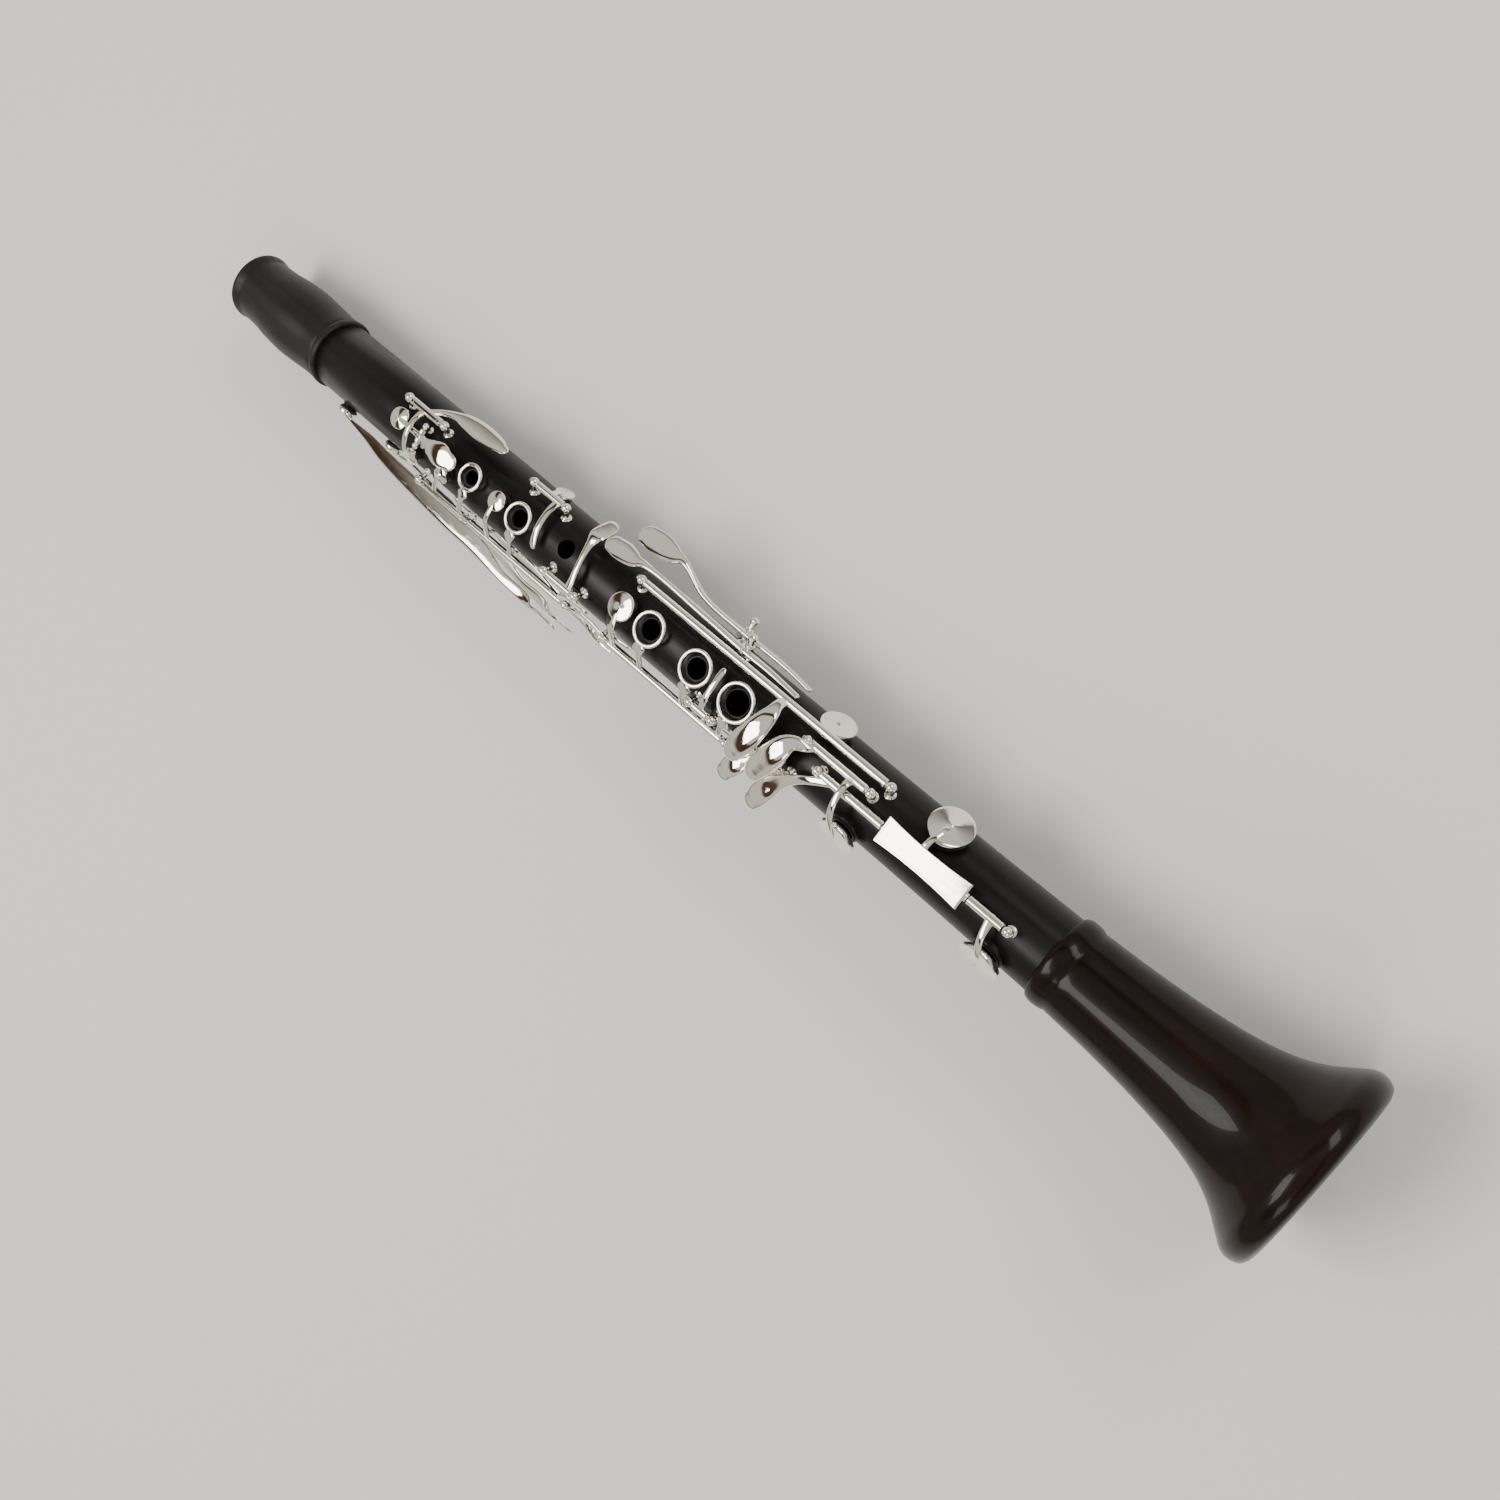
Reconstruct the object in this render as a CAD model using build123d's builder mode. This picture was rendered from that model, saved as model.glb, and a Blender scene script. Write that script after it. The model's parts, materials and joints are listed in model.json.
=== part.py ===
from build123d import *
import os
from math import atan2, cos, degrees, radians, sin

os.makedirs("parts", exist_ok=True)

# A soprano clarinet in B flat, Boehm system, without its mouthpiece. Millimetres.
# Working frame: X runs up the bore from the bell's mouth to the barrel, Z points out of
# the front, where the finger holes are, and Y points to the player's right hand side.
# A place on the body is a station along the bore, an angle from the front towards the
# player's right, and a distance from the bore's axis.

# Body stations and radii
bell_top = 113.5
middle_seam = 337.0
upper_top = 531.6
barrel_top = 595.0
bore = 7.4
joint_radius = 15.2
knee_radius = 15.5
upper_radius = 15.1
foot_radius = 16.4
rim_radius = 40.2
rim_station = 7.0
mouth_radius = 30.0
barrel_bulge = 17.05
mouthpiece_socket = 11.2
socket_depth = 18.0

# Tenons: (shoulder, end, radius) and the corks round them
tenon_gap = 0.1
bell_tenon = (bell_top, 91.0, 13.8)
middle_tenon = (middle_seam, 321.7, 11.65)
barrel_tenon = (upper_top, 549.2, 11.45)
cork_depth = 1.2

# Keywork
rod_radius = 20.8
rod_thickness = 0.9
running_gap = 0.05
tube_thickness = 1.75
ball = 2.1
stem = 1.3
flange = 2.3
strap_width = 2.8
strap_thickness = 1.3
pad_thickness = 2.0
pad_recess = 1.2
cup_roof = 0.7
cup_wall = 0.5
seat_rise = 0.95
closed_gap = 0.2
ring_height = 18.3
ring_section = 0.85
ring_gap = 1.0

# Hinge lines, by their angle round the body
stack = 54.8
throat_line = -28.0
sliver_line = -46.4
c_sharp_line = 28.3
thumb_line = 150.0
a_flat_line = -38.2
f_sharp_line = -19.7
e_line = -2.3
f_touch_line = 30.0
f_touch_radius = 19.0
low_sliver_line = 36.0

# Finger holes: name, station, angle, hole radius, ring radius (0 where the hole has no ring)
upper_fingers = [
    ("first", 423.8, 0.0, 3.4, 5.4),
    ("second", 393.0, 0.0, 3.7, 6.1),
    ("third", 367.7, -8.0, 4.0, 0.0),
]
lower_fingers = [
    ("fourth", 313.7, 0.0, 4.2, 6.8),
    ("fifth", 287.5, 0.0, 4.2, 7.0),
    ("sixth", 265.0, 0.0, 5.0, 7.6),
]

# Padded holes: station, angle, cup radius, gap under the pad at rest
upper_pads = {
    "throat_a": (470.8, 0.0, 4.8, closed_gap),
    "throat_g_sharp": (459.0, 36.0, 3.9, closed_gap),
    "first_ring": (438.0, 24.0, 3.7, 0.9),
    "second_ring": (405.3, 0.0, 4.3, 1.5),
    "upper_sliver": (388.0, -72.0, 4.2, closed_gap),
    "c_sharp": (362.0, 88.0, 3.6, closed_gap),
    "trill_1": (512.0, 84.0, 4.6, closed_gap),
    "trill_2": (484.0, 101.0, 4.4, closed_gap),
    "trill_3": (441.0, 116.0, 4.2, closed_gap),
    "trill_4": (392.0, 132.0, 4.4, closed_gap),
}
lower_pads = {
    "right_ring": (329.0, 0.0, 6.0, 1.5),
    "lower_sliver": (276.5, 86.0, 4.6, closed_gap),
    "a_flat": (229.0, -62.0, 7.4, closed_gap),
    "f_sharp": (203.3, 53.0, 8.6, 2.2),
    "f": (169.0, -48.0, 9.0, 2.0),
    "e": (132.0, 53.0, 9.0, 2.0),
}

# Trill levers on the right side: pivot station, touch station, touch height
trills = {
    "trill_1": (425.0, 368.0, 31.5),
    "trill_2": (418.0, 366.0, 30.5),
    "trill_3": (402.0, 345.0, 29.0),
    "trill_4": (372.0, 343.0, 28.0),
}
trill_pivot_radius = 19.6

# Left hand levers beside the right hand holes: angle, pivot station, post angle, then the
# touch: its station, angle, height and length
left_levers = {
    "left_e": (-72.5, 285.0, -85.0, (331.0, -71.6, 27.8, 27.0)),
    "left_f_sharp": (-51.0, 277.0, -61.5, (342.0, -45.5, 23.4, 22.0)),
}
left_pivot_radius = 20.4

# Posts on a hinge line: station, angle, height of the ball
upper_post_places = [
    (450.7, stack, rod_radius), (419.4, stack, rod_radius), (355.8, stack, rod_radius),
    (471.4, throat_line, rod_radius), (448.2, throat_line, rod_radius),
    (397.8, sliver_line, rod_radius), (378.1, sliver_line, rod_radius),
    (369.2, c_sharp_line, rod_radius), (350.5, c_sharp_line, rod_radius),
    (472.5, thumb_line, rod_radius), (441.5, thumb_line, rod_radius),
]
lower_post_places = [
    (333.6, stack, rod_radius), (262.2, stack, rod_radius),
    (282.4, low_sliver_line, rod_radius), (270.2, low_sliver_line, rod_radius),
    (329.4, a_flat_line, rod_radius), (195.4, a_flat_line, rod_radius),
    (231.5, f_sharp_line, rod_radius), (199.5, f_sharp_line, rod_radius),
    (221.0, e_line, rod_radius), (128.6, e_line, rod_radius),
    (254.2, f_touch_line, f_touch_radius), (231.8, f_touch_line, f_touch_radius),
]

# Cross hinges: station, angle, height, half the distance between the two posts
cross_hinges = {
    "throat_a": (456.0, 0.0, 18.9, 4.6),
    "register": (497.0, 180.0, 18.4, 4.4),
}
cross_stem = 1.0
cross_ball = 1.5
cross_hub = 1.6
cross_pin = 0.6

# Register vent, thumb hole and thumb rest on the back
register_station = 517.0
register_seat = 16.3
thumb_station = 457.0
thumb_ring = 5.9
rest_station = 296.0
rest_reach = 31.5
rest_width = 13.0

pieces = []


def keep(piece, label):
    """Names a finished piece and adds it to the instrument."""
    piece.label = label
    pieces.append(piece)


def at(station, angle, radius):
    """A point on the instrument."""
    return Vector(station, radius * sin(radians(angle)), radius * cos(radians(angle)))


def facing(station, angle, radius):
    """A plane that lies flat against the body, its X along the bore."""
    outward = (0, sin(radians(angle)), cos(radians(angle)))
    return Plane(origin=at(station, angle, radius), x_dir=(1, 0, 0), z_dir=outward)


def side(angle):
    """A plane through the bore: local X is the station, local Y the distance out."""
    return Plane(origin=(0, 0, 0), x_dir=(1, 0, 0), z_dir=(0, -cos(radians(angle)), sin(radians(angle))))


def disc(plane, radius, height, mode=Mode.ADD):
    """A round boss, or a round cut, standing on a plane."""
    with BuildSketch(plane) as outline:
        Circle(radius)
    extrude(outline.sketch, amount=height, mode=mode)


def along(station, length, angle, distance, radius, mode=Mode.ADD):
    """A cylinder that runs along the bore."""
    centre = at(station, angle, distance)
    disc(Plane(origin=centre, x_dir=(0, 1, 0), z_dir=(1, 0, 0)), radius, length, mode)


def across(station, angle, distance, half, radius, mode=Mode.ADD):
    """A cylinder square to the bore, lying along the body's surface."""
    tangent = Vector(0, cos(radians(angle)), -sin(radians(angle)))
    start = at(station, angle, distance) - tangent * half
    disc(Plane(origin=start, x_dir=(1, 0, 0), z_dir=tangent), radius, 2 * half, mode)


def strap(points, width=strap_width, thickness=strap_thickness):
    """A flat arm through places on the body, its broad face outwards."""
    places = [at(*point) for point in points]
    for start, end in zip(places, places[1:]):
        run = end - start
        middle = (start + end) * 0.5
        outward = Vector(0, middle.Y, middle.Z).normalized()
        flat = (outward - run.normalized() * outward.dot(run.normalized())).normalized()
        with BuildSketch(Plane(origin=middle, x_dir=run, z_dir=flat)) as outline:
            SlotCenterToCenter(run.length, width)
        extrude(outline.sketch, amount=thickness / 2, both=True)


def touch(station, angle, radius, length, breadth, thickness=1.5, turn=0.0, lean=None):
    """An oval touchpiece with softened edges; its length runs along the bore."""
    flat = facing(station, angle if lean is None else lean, 0)
    flat.origin = at(station, angle, radius)
    with BuildPart() as plate:
        with BuildSketch(flat):
            Ellipse(length / 2, breadth / 2, rotation=turn)
        extrude(amount=thickness)
        fillet(plate.edges(), thickness * 0.4)
    add(plate.part)


def ring(station, radius):
    """A finger ring round its raised hole."""
    with Locations(facing(station, 0, ring_height)):
        Torus(radius, ring_section)


def body_radius(station):
    """Outside of the wood at a station on the joints."""
    if station < bell_top + 72:
        return foot_radius - (foot_radius - knee_radius) * (station - bell_top) / 72
    if station < middle_seam:
        share = (station - bell_top - 72) / (middle_seam - bell_top - 72)
        return knee_radius - (knee_radius - joint_radius) * share
    return joint_radius - (joint_radius - upper_radius) * max(0, station - 480) / (upper_top - 480)


def pad_face(place):
    """Distance from the axis to the face of a pad at rest."""
    return body_radius(place[0]) + seat_rise + place[3]


def cup_top(place):
    """Distance from the axis to the flat top of a cup at rest."""
    return pad_face(place) + pad_thickness + cup_roof


def cup(place):
    """A pad cup: a shallow shell with a pointed back, made after its arm."""
    station, angle, radius, _ = place
    rim = pad_face(place) + pad_thickness - pad_recess
    disc(facing(station, angle, rim), radius, pad_recess + cup_roof)
    with BuildSketch(facing(station, angle, cup_top(place))) as back:
        Circle(radius - 0.3)
    extrude(back.sketch, amount=0.9, taper=degrees(atan2(radius * 0.8, 0.9)))
    disc(facing(station, angle, rim - 2), radius - cup_wall, pad_recess + 2, Mode.SUBTRACT)


def key_tube(start, end, angle, distance=rod_radius):
    """The solid outside of a hinge tube."""
    along(start, end - start, angle, distance, tube_thickness)


def open_tube(start, end, angle, distance=rod_radius):
    """The hole through a hinge tube, cut last."""
    radius = rod_thickness + running_gap
    along(start - 1, end - start + 2, angle, distance, radius, Mode.SUBTRACT)


def make_pad(name, place):
    """The pad that sits in a cup, as its own piece."""
    with BuildPart() as pad:
        disc(facing(place[0], place[1], pad_face(place)), place[2] - cup_wall - running_gap, pad_thickness)
        fillet(pad.faces().sort_by(Axis((0, 0, 0), facing(place[0], place[1], 0).z_dir))[0].edges(), 0.3)
    keep(pad.part, name + "_pad")


def drill_posts(places):
    """Screw holes for the posts in a joint's wood."""
    for station, angle, _ in places:
        disc(facing(station, angle, 12.2), stem + running_gap, 5, Mode.SUBTRACT)


def cross_places():
    """The small posts of the cross hinges and trill levers: station, angle, lever angle, height."""
    places = []
    for station, angle, height, half in cross_hinges.values():
        for shift in (-half, half):
            lean = degrees(atan2(shift, height))
            places.append((station, angle + lean, angle, height / cos(radians(lean))))
    for name, (pivot, _, _) in trills.items():
        angle = upper_pads[name][1]
        for lean in (-8.5, 8.5):
            places.append((pivot, angle + lean, angle, trill_pivot_radius / cos(radians(lean))))
    return places


def drill_cross_posts():
    """Screw holes for the small posts."""
    for station, angle, _, _ in cross_places():
        disc(facing(station, angle, 12.2), cross_stem + running_gap, 5, Mode.SUBTRACT)


def add_seats(fingers, pads):
    """Raised rims round the holes, then the holes themselves."""
    for _, station, angle, hole, ring_radius in fingers:
        if ring_radius:
            chimney = ring_radius - ring_section - ring_gap
            disc(facing(station, angle, 12), chimney, ring_height - ring_section - 0.3 - 12)
    for station, angle, radius, _ in pads.values():
        disc(facing(station, angle, 12), radius * 0.74, body_radius(station) + seat_rise - 12)
    for _, station, angle, hole, _ in fingers:
        disc(facing(station, angle, 0), hole, 25, Mode.SUBTRACT)
    for station, angle, radius, _ in pads.values():
        disc(facing(station, angle, 0), radius * 0.55, 25, Mode.SUBTRACT)


def cork_groove(tenon):
    """Where the cork of a tenon begins, and which way it runs."""
    shoulder, end, _ = tenon
    return shoulder + (end - shoulder) * 0.25, shoulder + (end - shoulder) * 0.85


# --- Body ---

with BuildPart() as bell:
    with BuildSketch(Plane.XY):
        with BuildLine():
            Line((0, mouth_radius), (0, 34.4))
            ThreePointArc((0, 34.4), (1.9, 38.7), (rim_station, rim_radius))
            Spline(
                (rim_station, rim_radius), (15.4, 35.8), (31, 26.5), (63, 20.3), (105, 17.6),
                tangents=[(1, -0.08), (1, 0)],
            )
            ThreePointArc((105, 17.6), (110, 18.4), (bell_top, 17.7))
            Line((bell_top, 17.7), (bell_top, bell_tenon[2] + tenon_gap))
            Line((bell_top, bell_tenon[2] + tenon_gap), (bell_tenon[1] - 0.3, bell_tenon[2] + tenon_gap))
            Line((bell_tenon[1] - 0.3, bell_tenon[2] + tenon_gap), (bell_tenon[1] - 0.3, 11.3))
            Spline(
                (bell_tenon[1] - 0.3, 11.3), (60, 13.6), (30, 19.4), (0, mouth_radius),
                tangents=[(-1, 0.02), (-1, 0.62)],
            )
        make_face()
    revolve(axis=Axis.X)
keep(bell.part, "bell")

with BuildPart() as lower_joint:
    shoulder, tenon_end, tenon_radius = bell_tenon
    groove = cork_groove(bell_tenon)
    socket = middle_tenon[2] + tenon_gap
    with BuildSketch(Plane.XY):
        with BuildLine():
            Polyline(
                (tenon_end, 11.2), (tenon_end, tenon_radius), (groove[1], tenon_radius),
                (groove[1], tenon_radius - cork_depth), (groove[0], tenon_radius - cork_depth),
                (groove[0], tenon_radius), (shoulder, tenon_radius), (shoulder, foot_radius),
            )
            Spline(
                (shoulder, foot_radius), (shoulder + 36, 15.85), (shoulder + 72, knee_radius),
                (middle_seam, joint_radius), tangents=[(1, -0.03), (1, 0)],
            )
            Polyline(
                (middle_seam, joint_radius), (middle_seam, socket), (middle_tenon[1] - 0.3, socket),
                (middle_tenon[1] - 0.3, bore), (210, bore),
            )
            Spline((210, bore), (150, 8.8), (tenon_end, 11.2), tangents=[(-1, 0), (-1, 0.06)])
        make_face()
    revolve(axis=Axis.X)
    add_seats(lower_fingers, lower_pads)
    drill_posts(lower_post_places)
    for _, pivot, post_angle, _ in left_levers.values():
        disc(facing(pivot, post_angle, 12.2), stem + running_gap, 5, Mode.SUBTRACT)
    for shift in (-7.0, 7.0):
        disc(facing(rest_station + shift, 180, 11), 1.0, 6, Mode.SUBTRACT)
keep(lower_joint.part, "lower_joint")

with BuildPart() as upper_joint:
    groove_low = cork_groove(middle_tenon)
    groove_high = cork_groove(barrel_tenon)
    with BuildSketch(Plane.XY):
        with BuildLine():
            Polyline(
                (middle_tenon[1], bore), (middle_tenon[1], middle_tenon[2]),
                (groove_low[1], middle_tenon[2]), (groove_low[1], middle_tenon[2] - cork_depth),
                (groove_low[0], middle_tenon[2] - cork_depth), (groove_low[0], middle_tenon[2]),
                (middle_seam, middle_tenon[2]), (middle_seam, joint_radius), (480, joint_radius),
                (upper_top, upper_radius), (upper_top, barrel_tenon[2]), (groove_high[0], barrel_tenon[2]),
                (groove_high[0], barrel_tenon[2] - cork_depth),
                (groove_high[1], barrel_tenon[2] - cork_depth), (groove_high[1], barrel_tenon[2]),
                (barrel_tenon[1], barrel_tenon[2]), (barrel_tenon[1], bore), close=True,
            )
        make_face()
    revolve(axis=Axis.X)
    add_seats(upper_fingers, upper_pads)
    drill_posts(upper_post_places)
    drill_cross_posts()
    disc(facing(register_station, 180, 0), 2.5, 25, Mode.SUBTRACT)
    disc(facing(thumb_station, 180, 0), 4.2, 25, Mode.SUBTRACT)
keep(upper_joint.part, "upper_joint")

with BuildPart() as barrel:
    lower_socket = barrel_tenon[2] + tenon_gap
    with BuildSketch(Plane.XY):
        with BuildLine():
            ThreePointArc((upper_top, 16.0), (upper_top + 1.6, 16.5), (upper_top + 3.6, 16.1))
            Spline(
                (upper_top + 3.6, 16.1), (542, 15.95), (560, barrel_bulge), (580, 15.5), (590, 15.0),
                tangents=[(1, -0.1), (1, 0.02)],
            )
            ThreePointArc((590, 15.0), (593.2, 15.8), (594.4, 15.5))
            ThreePointArc((594.4, 15.5), (barrel_top, 14.6), (594.6, 13.6))
            Polyline(
                (594.6, 13.6), (593.6, mouthpiece_socket), (barrel_top - socket_depth, mouthpiece_socket),
                (barrel_top - socket_depth, bore), (upper_top + socket_depth, bore),
                (upper_top + socket_depth, lower_socket), (upper_top, lower_socket), (upper_top, 16.0),
            )
        make_face()
    revolve(axis=Axis.X)
keep(barrel.part, "barrel")

with BuildPart() as tenon_corks:
    for tenon in (bell_tenon, middle_tenon, barrel_tenon):
        low, high = sorted(cork_groove(tenon))
        inner = tenon[2] - cork_depth
        with BuildSketch(Plane.YZ.offset(low + 0.1)) as cork_ring:
            Circle(tenon[2] + running_gap)
            Circle(inner + 0.02, mode=Mode.SUBTRACT)
        extrude(cork_ring.sketch, amount=high - low - 0.2)
keep(tenon_corks.part, "tenon_corks")

with BuildPart() as register_tube:
    disc(facing(register_station, 180, 5.0), 2.45, register_seat - 5.0)
    disc(facing(register_station, 180, 0), 1.5, 25, Mode.SUBTRACT)
keep(register_tube.part, "register_tube")

with BuildPart() as thumb_tube:
    disc(facing(thumb_station, 180, 7.8), 4.15, 9.2)
    disc(facing(thumb_station, 180, 0), 3.4, 25, Mode.SUBTRACT)
keep(thumb_tube.part, "thumb_tube")


# --- Posts, hinge rods and springs ---

def post(station, angle, height):
    """A pillar with a ball head."""
    disc(facing(station, angle, 12.3), stem, height - 12.3)
    disc(facing(station, angle, body_radius(station) + running_gap), flange, 0.7)
    with Locations(facing(station, angle, height)):
        Sphere(ball)


def lever_post(station, angle, lever_angle, radius, thin, head, hole):
    """A pillar that holds one end of a pin lying across the bore."""
    disc(facing(station, angle, 12.3), thin, radius - 12.3)
    with Locations(facing(station, angle, radius)):
        Sphere(head)
    across(station, lever_angle, radius * cos(radians(angle - lever_angle)), 9, hole, Mode.SUBTRACT)


with BuildPart() as upper_posts:
    for place in upper_post_places:
        post(*place)
    for station, angle, distance in upper_post_places:
        along(station - 4, 8, angle, distance, rod_thickness + running_gap, Mode.SUBTRACT)
    for station, angle, lever_angle, radius in cross_places():
        lever_post(station, angle, lever_angle, radius, cross_stem, cross_ball, cross_pin + running_gap)
keep(upper_posts.part, "upper_posts")

with BuildPart() as lower_posts:
    for place in lower_post_places:
        post(*place)
    for station, angle, distance in lower_post_places:
        along(station - 4, 8, angle, distance, rod_thickness + running_gap, Mode.SUBTRACT)
    for lever_angle, pivot, post_angle, _ in left_levers.values():
        reach = left_pivot_radius / cos(radians(post_angle - lever_angle))
        lever_post(pivot, post_angle, lever_angle, reach, stem, ball, rod_thickness + running_gap)
        disc(facing(pivot, post_angle, reach + ball - 0.2), 1.2, 4.6)
keep(lower_posts.part, "lower_posts")

with BuildPart() as upper_rods:
    for low, high, angle in (
        (355.8, 450.7, stack), (448.2, 471.4, throat_line), (378.1, 397.8, sliver_line),
        (350.5, 369.2, c_sharp_line), (441.5, 472.5, thumb_line),
    ):
        along(low - 2.3, high - low + 4.6, angle, rod_radius, rod_thickness)
    for station, angle, height, half in cross_hinges.values():
        across(station, angle, height, half + 1.7, cross_pin)
    for name, (pivot, _, _) in trills.items():
        across(pivot, upper_pads[name][1], trill_pivot_radius, 3.6, cross_pin)
keep(upper_rods.part, "upper_rods")

with BuildPart() as lower_rods:
    for low, high, angle, distance in (
        (262.2, 333.6, stack, rod_radius), (270.2, 282.4, low_sliver_line, rod_radius),
        (195.4, 329.4, a_flat_line, rod_radius), (199.5, 231.5, f_sharp_line, rod_radius),
        (231.8, 254.2, f_touch_line, f_touch_radius),
    ):
        along(low - 2.3, high - low + 4.6, angle, distance, rod_thickness)
    for lever_angle, pivot, post_angle, _ in left_levers.values():
        reach = left_pivot_radius * abs(sin(radians(post_angle - lever_angle))) + 2.3
        tangent = Vector(0, cos(radians(lever_angle)), -sin(radians(lever_angle)))
        head = at(pivot, lever_angle, left_pivot_radius) + tangent * 1.5
        disc(Plane(origin=head, x_dir=(1, 0, 0), z_dir=-tangent), rod_thickness, reach + 1.5)
        disc(Plane(origin=head, x_dir=(1, 0, 0), z_dir=tangent), 1.4, 0.6)
keep(lower_rods.part, "lower_rods")

with BuildPart() as needle_springs:
    for station, angle in (
        (419.4, stack), (448.2, throat_line), (378.1, sliver_line),
        (441.5, thumb_line), (262.2, stack), (270.2, low_sliver_line),
        (195.4, a_flat_line), (199.5, f_sharp_line), (128.6, e_line), (231.8, f_touch_line),
    ):
        along(station + stem + 0.1, 8, angle, 17.2, 0.25)
    along(350.5 + stem + 0.1, 5, c_sharp_line, 17.2, 0.25)
keep(needle_springs.part, "needle_springs")

with BuildPart() as thumb_rest:
    base = joint_radius + running_gap
    with BuildSketch(Plane.XZ.offset(-rest_width / 2)) as hook:
        with BuildLine():
            Line((rest_station - 10, -base), (rest_station + 10, -base))
            Line((rest_station + 10, -base), (rest_station + 10, -base - 1.6))
            Spline(
                (rest_station + 10, -base - 1.6), (rest_station + 4, -base - 2.2),
                (rest_station + 1.6, -base - 8), (rest_station + 4.5, -rest_reach + 0.6),
            )
            ThreePointArc(
                (rest_station + 4.5, -rest_reach + 0.6), (rest_station + 3.4, -rest_reach),
                (rest_station + 2.2, -rest_reach + 0.5),
            )
            Spline(
                (rest_station + 2.2, -rest_reach + 0.5), (rest_station - 0.8, -base - 8),
                (rest_station - 3, -base - 3), (rest_station - 10, -base - 1.6),
            )
            Line((rest_station - 10, -base - 1.6), (rest_station - 10, -base))
        make_face()
    extrude(hook.sketch, amount=rest_width)
    for shift in (-7.0, 7.0):
        disc(facing(rest_station + shift, 180, base - 1), 1.25, 6, Mode.SUBTRACT)
keep(thumb_rest.part, "thumb_rest")

with BuildPart() as thumb_rest_screws:
    for shift in (-7.0, 7.0):
        disc(facing(rest_station + shift, 180, 11.2), 0.95, base + 1.9 - 11.2)
        disc(facing(rest_station + shift, 180, base + 1.9), 1.9, 0.8)
keep(thumb_rest_screws.part, "thumb_rest_screws")


# --- Keys of the upper joint ---

for name, place in {**upper_pads, **lower_pads}.items():
    make_pad(name, place)

register_place = (register_station, 180.0, 3.4, register_seat - body_radius(register_station) - seat_rise + closed_gap)
make_pad("register", register_place)

with BuildPart() as register_key:
    station, angle, height, half = cross_hinges["register"]
    across(station, angle, height, half - cross_ball - 0.2, cross_hub)
    strap([(register_station, 180, 19.9), (506, 180, 19.8), (station, 180, 18.9), (484, 180, 19.6)], 3.2, 1.4)
    touch(476, 180, 19.2, 19, 9)
    cup(register_place)
    across(station, angle, height, half, cross_pin + running_gap, Mode.SUBTRACT)
keep(register_key.part, "register_key")

with BuildPart() as throat_a_key:
    station, angle, height, half = cross_hinges["throat_a"]
    across(station, angle, height, half - cross_ball - 0.2, cross_hub)
    strap([(470.8, 0, 18.9), (464, 0, 19.4), (station, 0, 19.6), (449, 0, 21.3), (444, 0, 21.9)], 2.6, 1.4)
    touch(440.5, 0, 21.4, 21, 10.4)
    cup(upper_pads["throat_a"])
    across(station, angle, height, half, cross_pin + running_gap, Mode.SUBTRACT)
keep(throat_a_key.part, "throat_a_key")

with BuildPart() as throat_g_sharp_key:
    key_tube(450.5, 469.1, throat_line)
    strap([(460.5, throat_line, rod_radius), (460.5, -14, 22.7), (460.2, 4, 23.1), (459.6, 22, 21.6), (459, 36, 18.9)])
    strap([(458.5, throat_line, rod_radius), (453.5, -37, 22.0), (444, -44.5, 23.6)], 3.0)
    touch(431, -47, 23.4, 31, 9.6)
    cup(upper_pads["throat_g_sharp"])
    open_tube(450.5, 469.1, throat_line)
keep(throat_g_sharp_key.part, "throat_g_sharp_key")

with BuildPart() as thumb_ring_key:
    with Locations(facing(thumb_station, 180, 17.6)):
        Torus(thumb_ring, ring_section)
    key_tube(443.8, 470.2, thumb_line)
    strap([(thumb_station, 163, 18.5), (thumb_station, 158, 19.3), (thumb_station, thumb_line, rod_radius)])
    open_tube(443.8, 470.2, thumb_line)
keep(thumb_ring_key.part, "thumb_ring_key")

with BuildPart() as first_ring_key:
    ring(423.8, 5.4)
    key_tube(421.7, 448.4, stack)
    strap([(423.8, 17, 19.0), (424, 34, 19.4), (424, stack, rod_radius)], 2.4)
    strap([(438, 24, 19.6), (440, 40, 19.6), (441, stack, rod_radius)], 2.4)
    cup(upper_pads["first_ring"])
    open_tube(421.7, 448.4, stack)
keep(first_ring_key.part, "first_ring_key")

with BuildPart() as second_ring_key:
    ring(393, 6.1)
    key_tube(358.1, 417.1, stack)
    strap([(393, 19.5, 19.3), (392, 36, 19.5), (391, stack, rod_radius)], 2.4)
    strap([(405.3, 0, 20.2), (406, 26, 20.8), (405, stack, rod_radius)], 2.4)
    strap([(360, stack, rod_radius), (360, 41, 19.8), (343.5, 41, 19.8)])
    cup(upper_pads["second_ring"])
    open_tube(358.1, 417.1, stack)
keep(second_ring_key.part, "second_ring_key")

with BuildPart() as upper_sliver_key:
    key_tube(380.4, 395.5, sliver_line)
    strap([(383, sliver_line, rod_radius), (382.6, -28, 19.6), (381.6, -5, 19.0), (380.6, 17, 18.7)], 3.0, 1.4)
    strap([(388, sliver_line, rod_radius), (388, -60, 19.9), (388, -72, 18.9)])
    cup(upper_pads["upper_sliver"])
    open_tube(380.4, 395.5, sliver_line)
keep(upper_sliver_key.part, "upper_sliver_key")

with BuildPart() as c_sharp_key:
    key_tube(352.8, 366.9, c_sharp_line)
    strap([(355, c_sharp_line, rod_radius), (355, 10, 19.8), (357, -14, 19.4), (357.6, -36, 21.4)], 3.0, 1.4)
    touch(357.2, -47, 22.0, 6.6, 15)
    strap([(362, c_sharp_line, 20.1), (362, 36, 17.8), (362, 60, 17.5), (362, 76, 18.7), (362, 88, 19.2)], 2.3, 1.2)
    cup(upper_pads["c_sharp"])
    open_tube(352.8, 366.9, c_sharp_line)
keep(c_sharp_key.part, "c_sharp_key")


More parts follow.
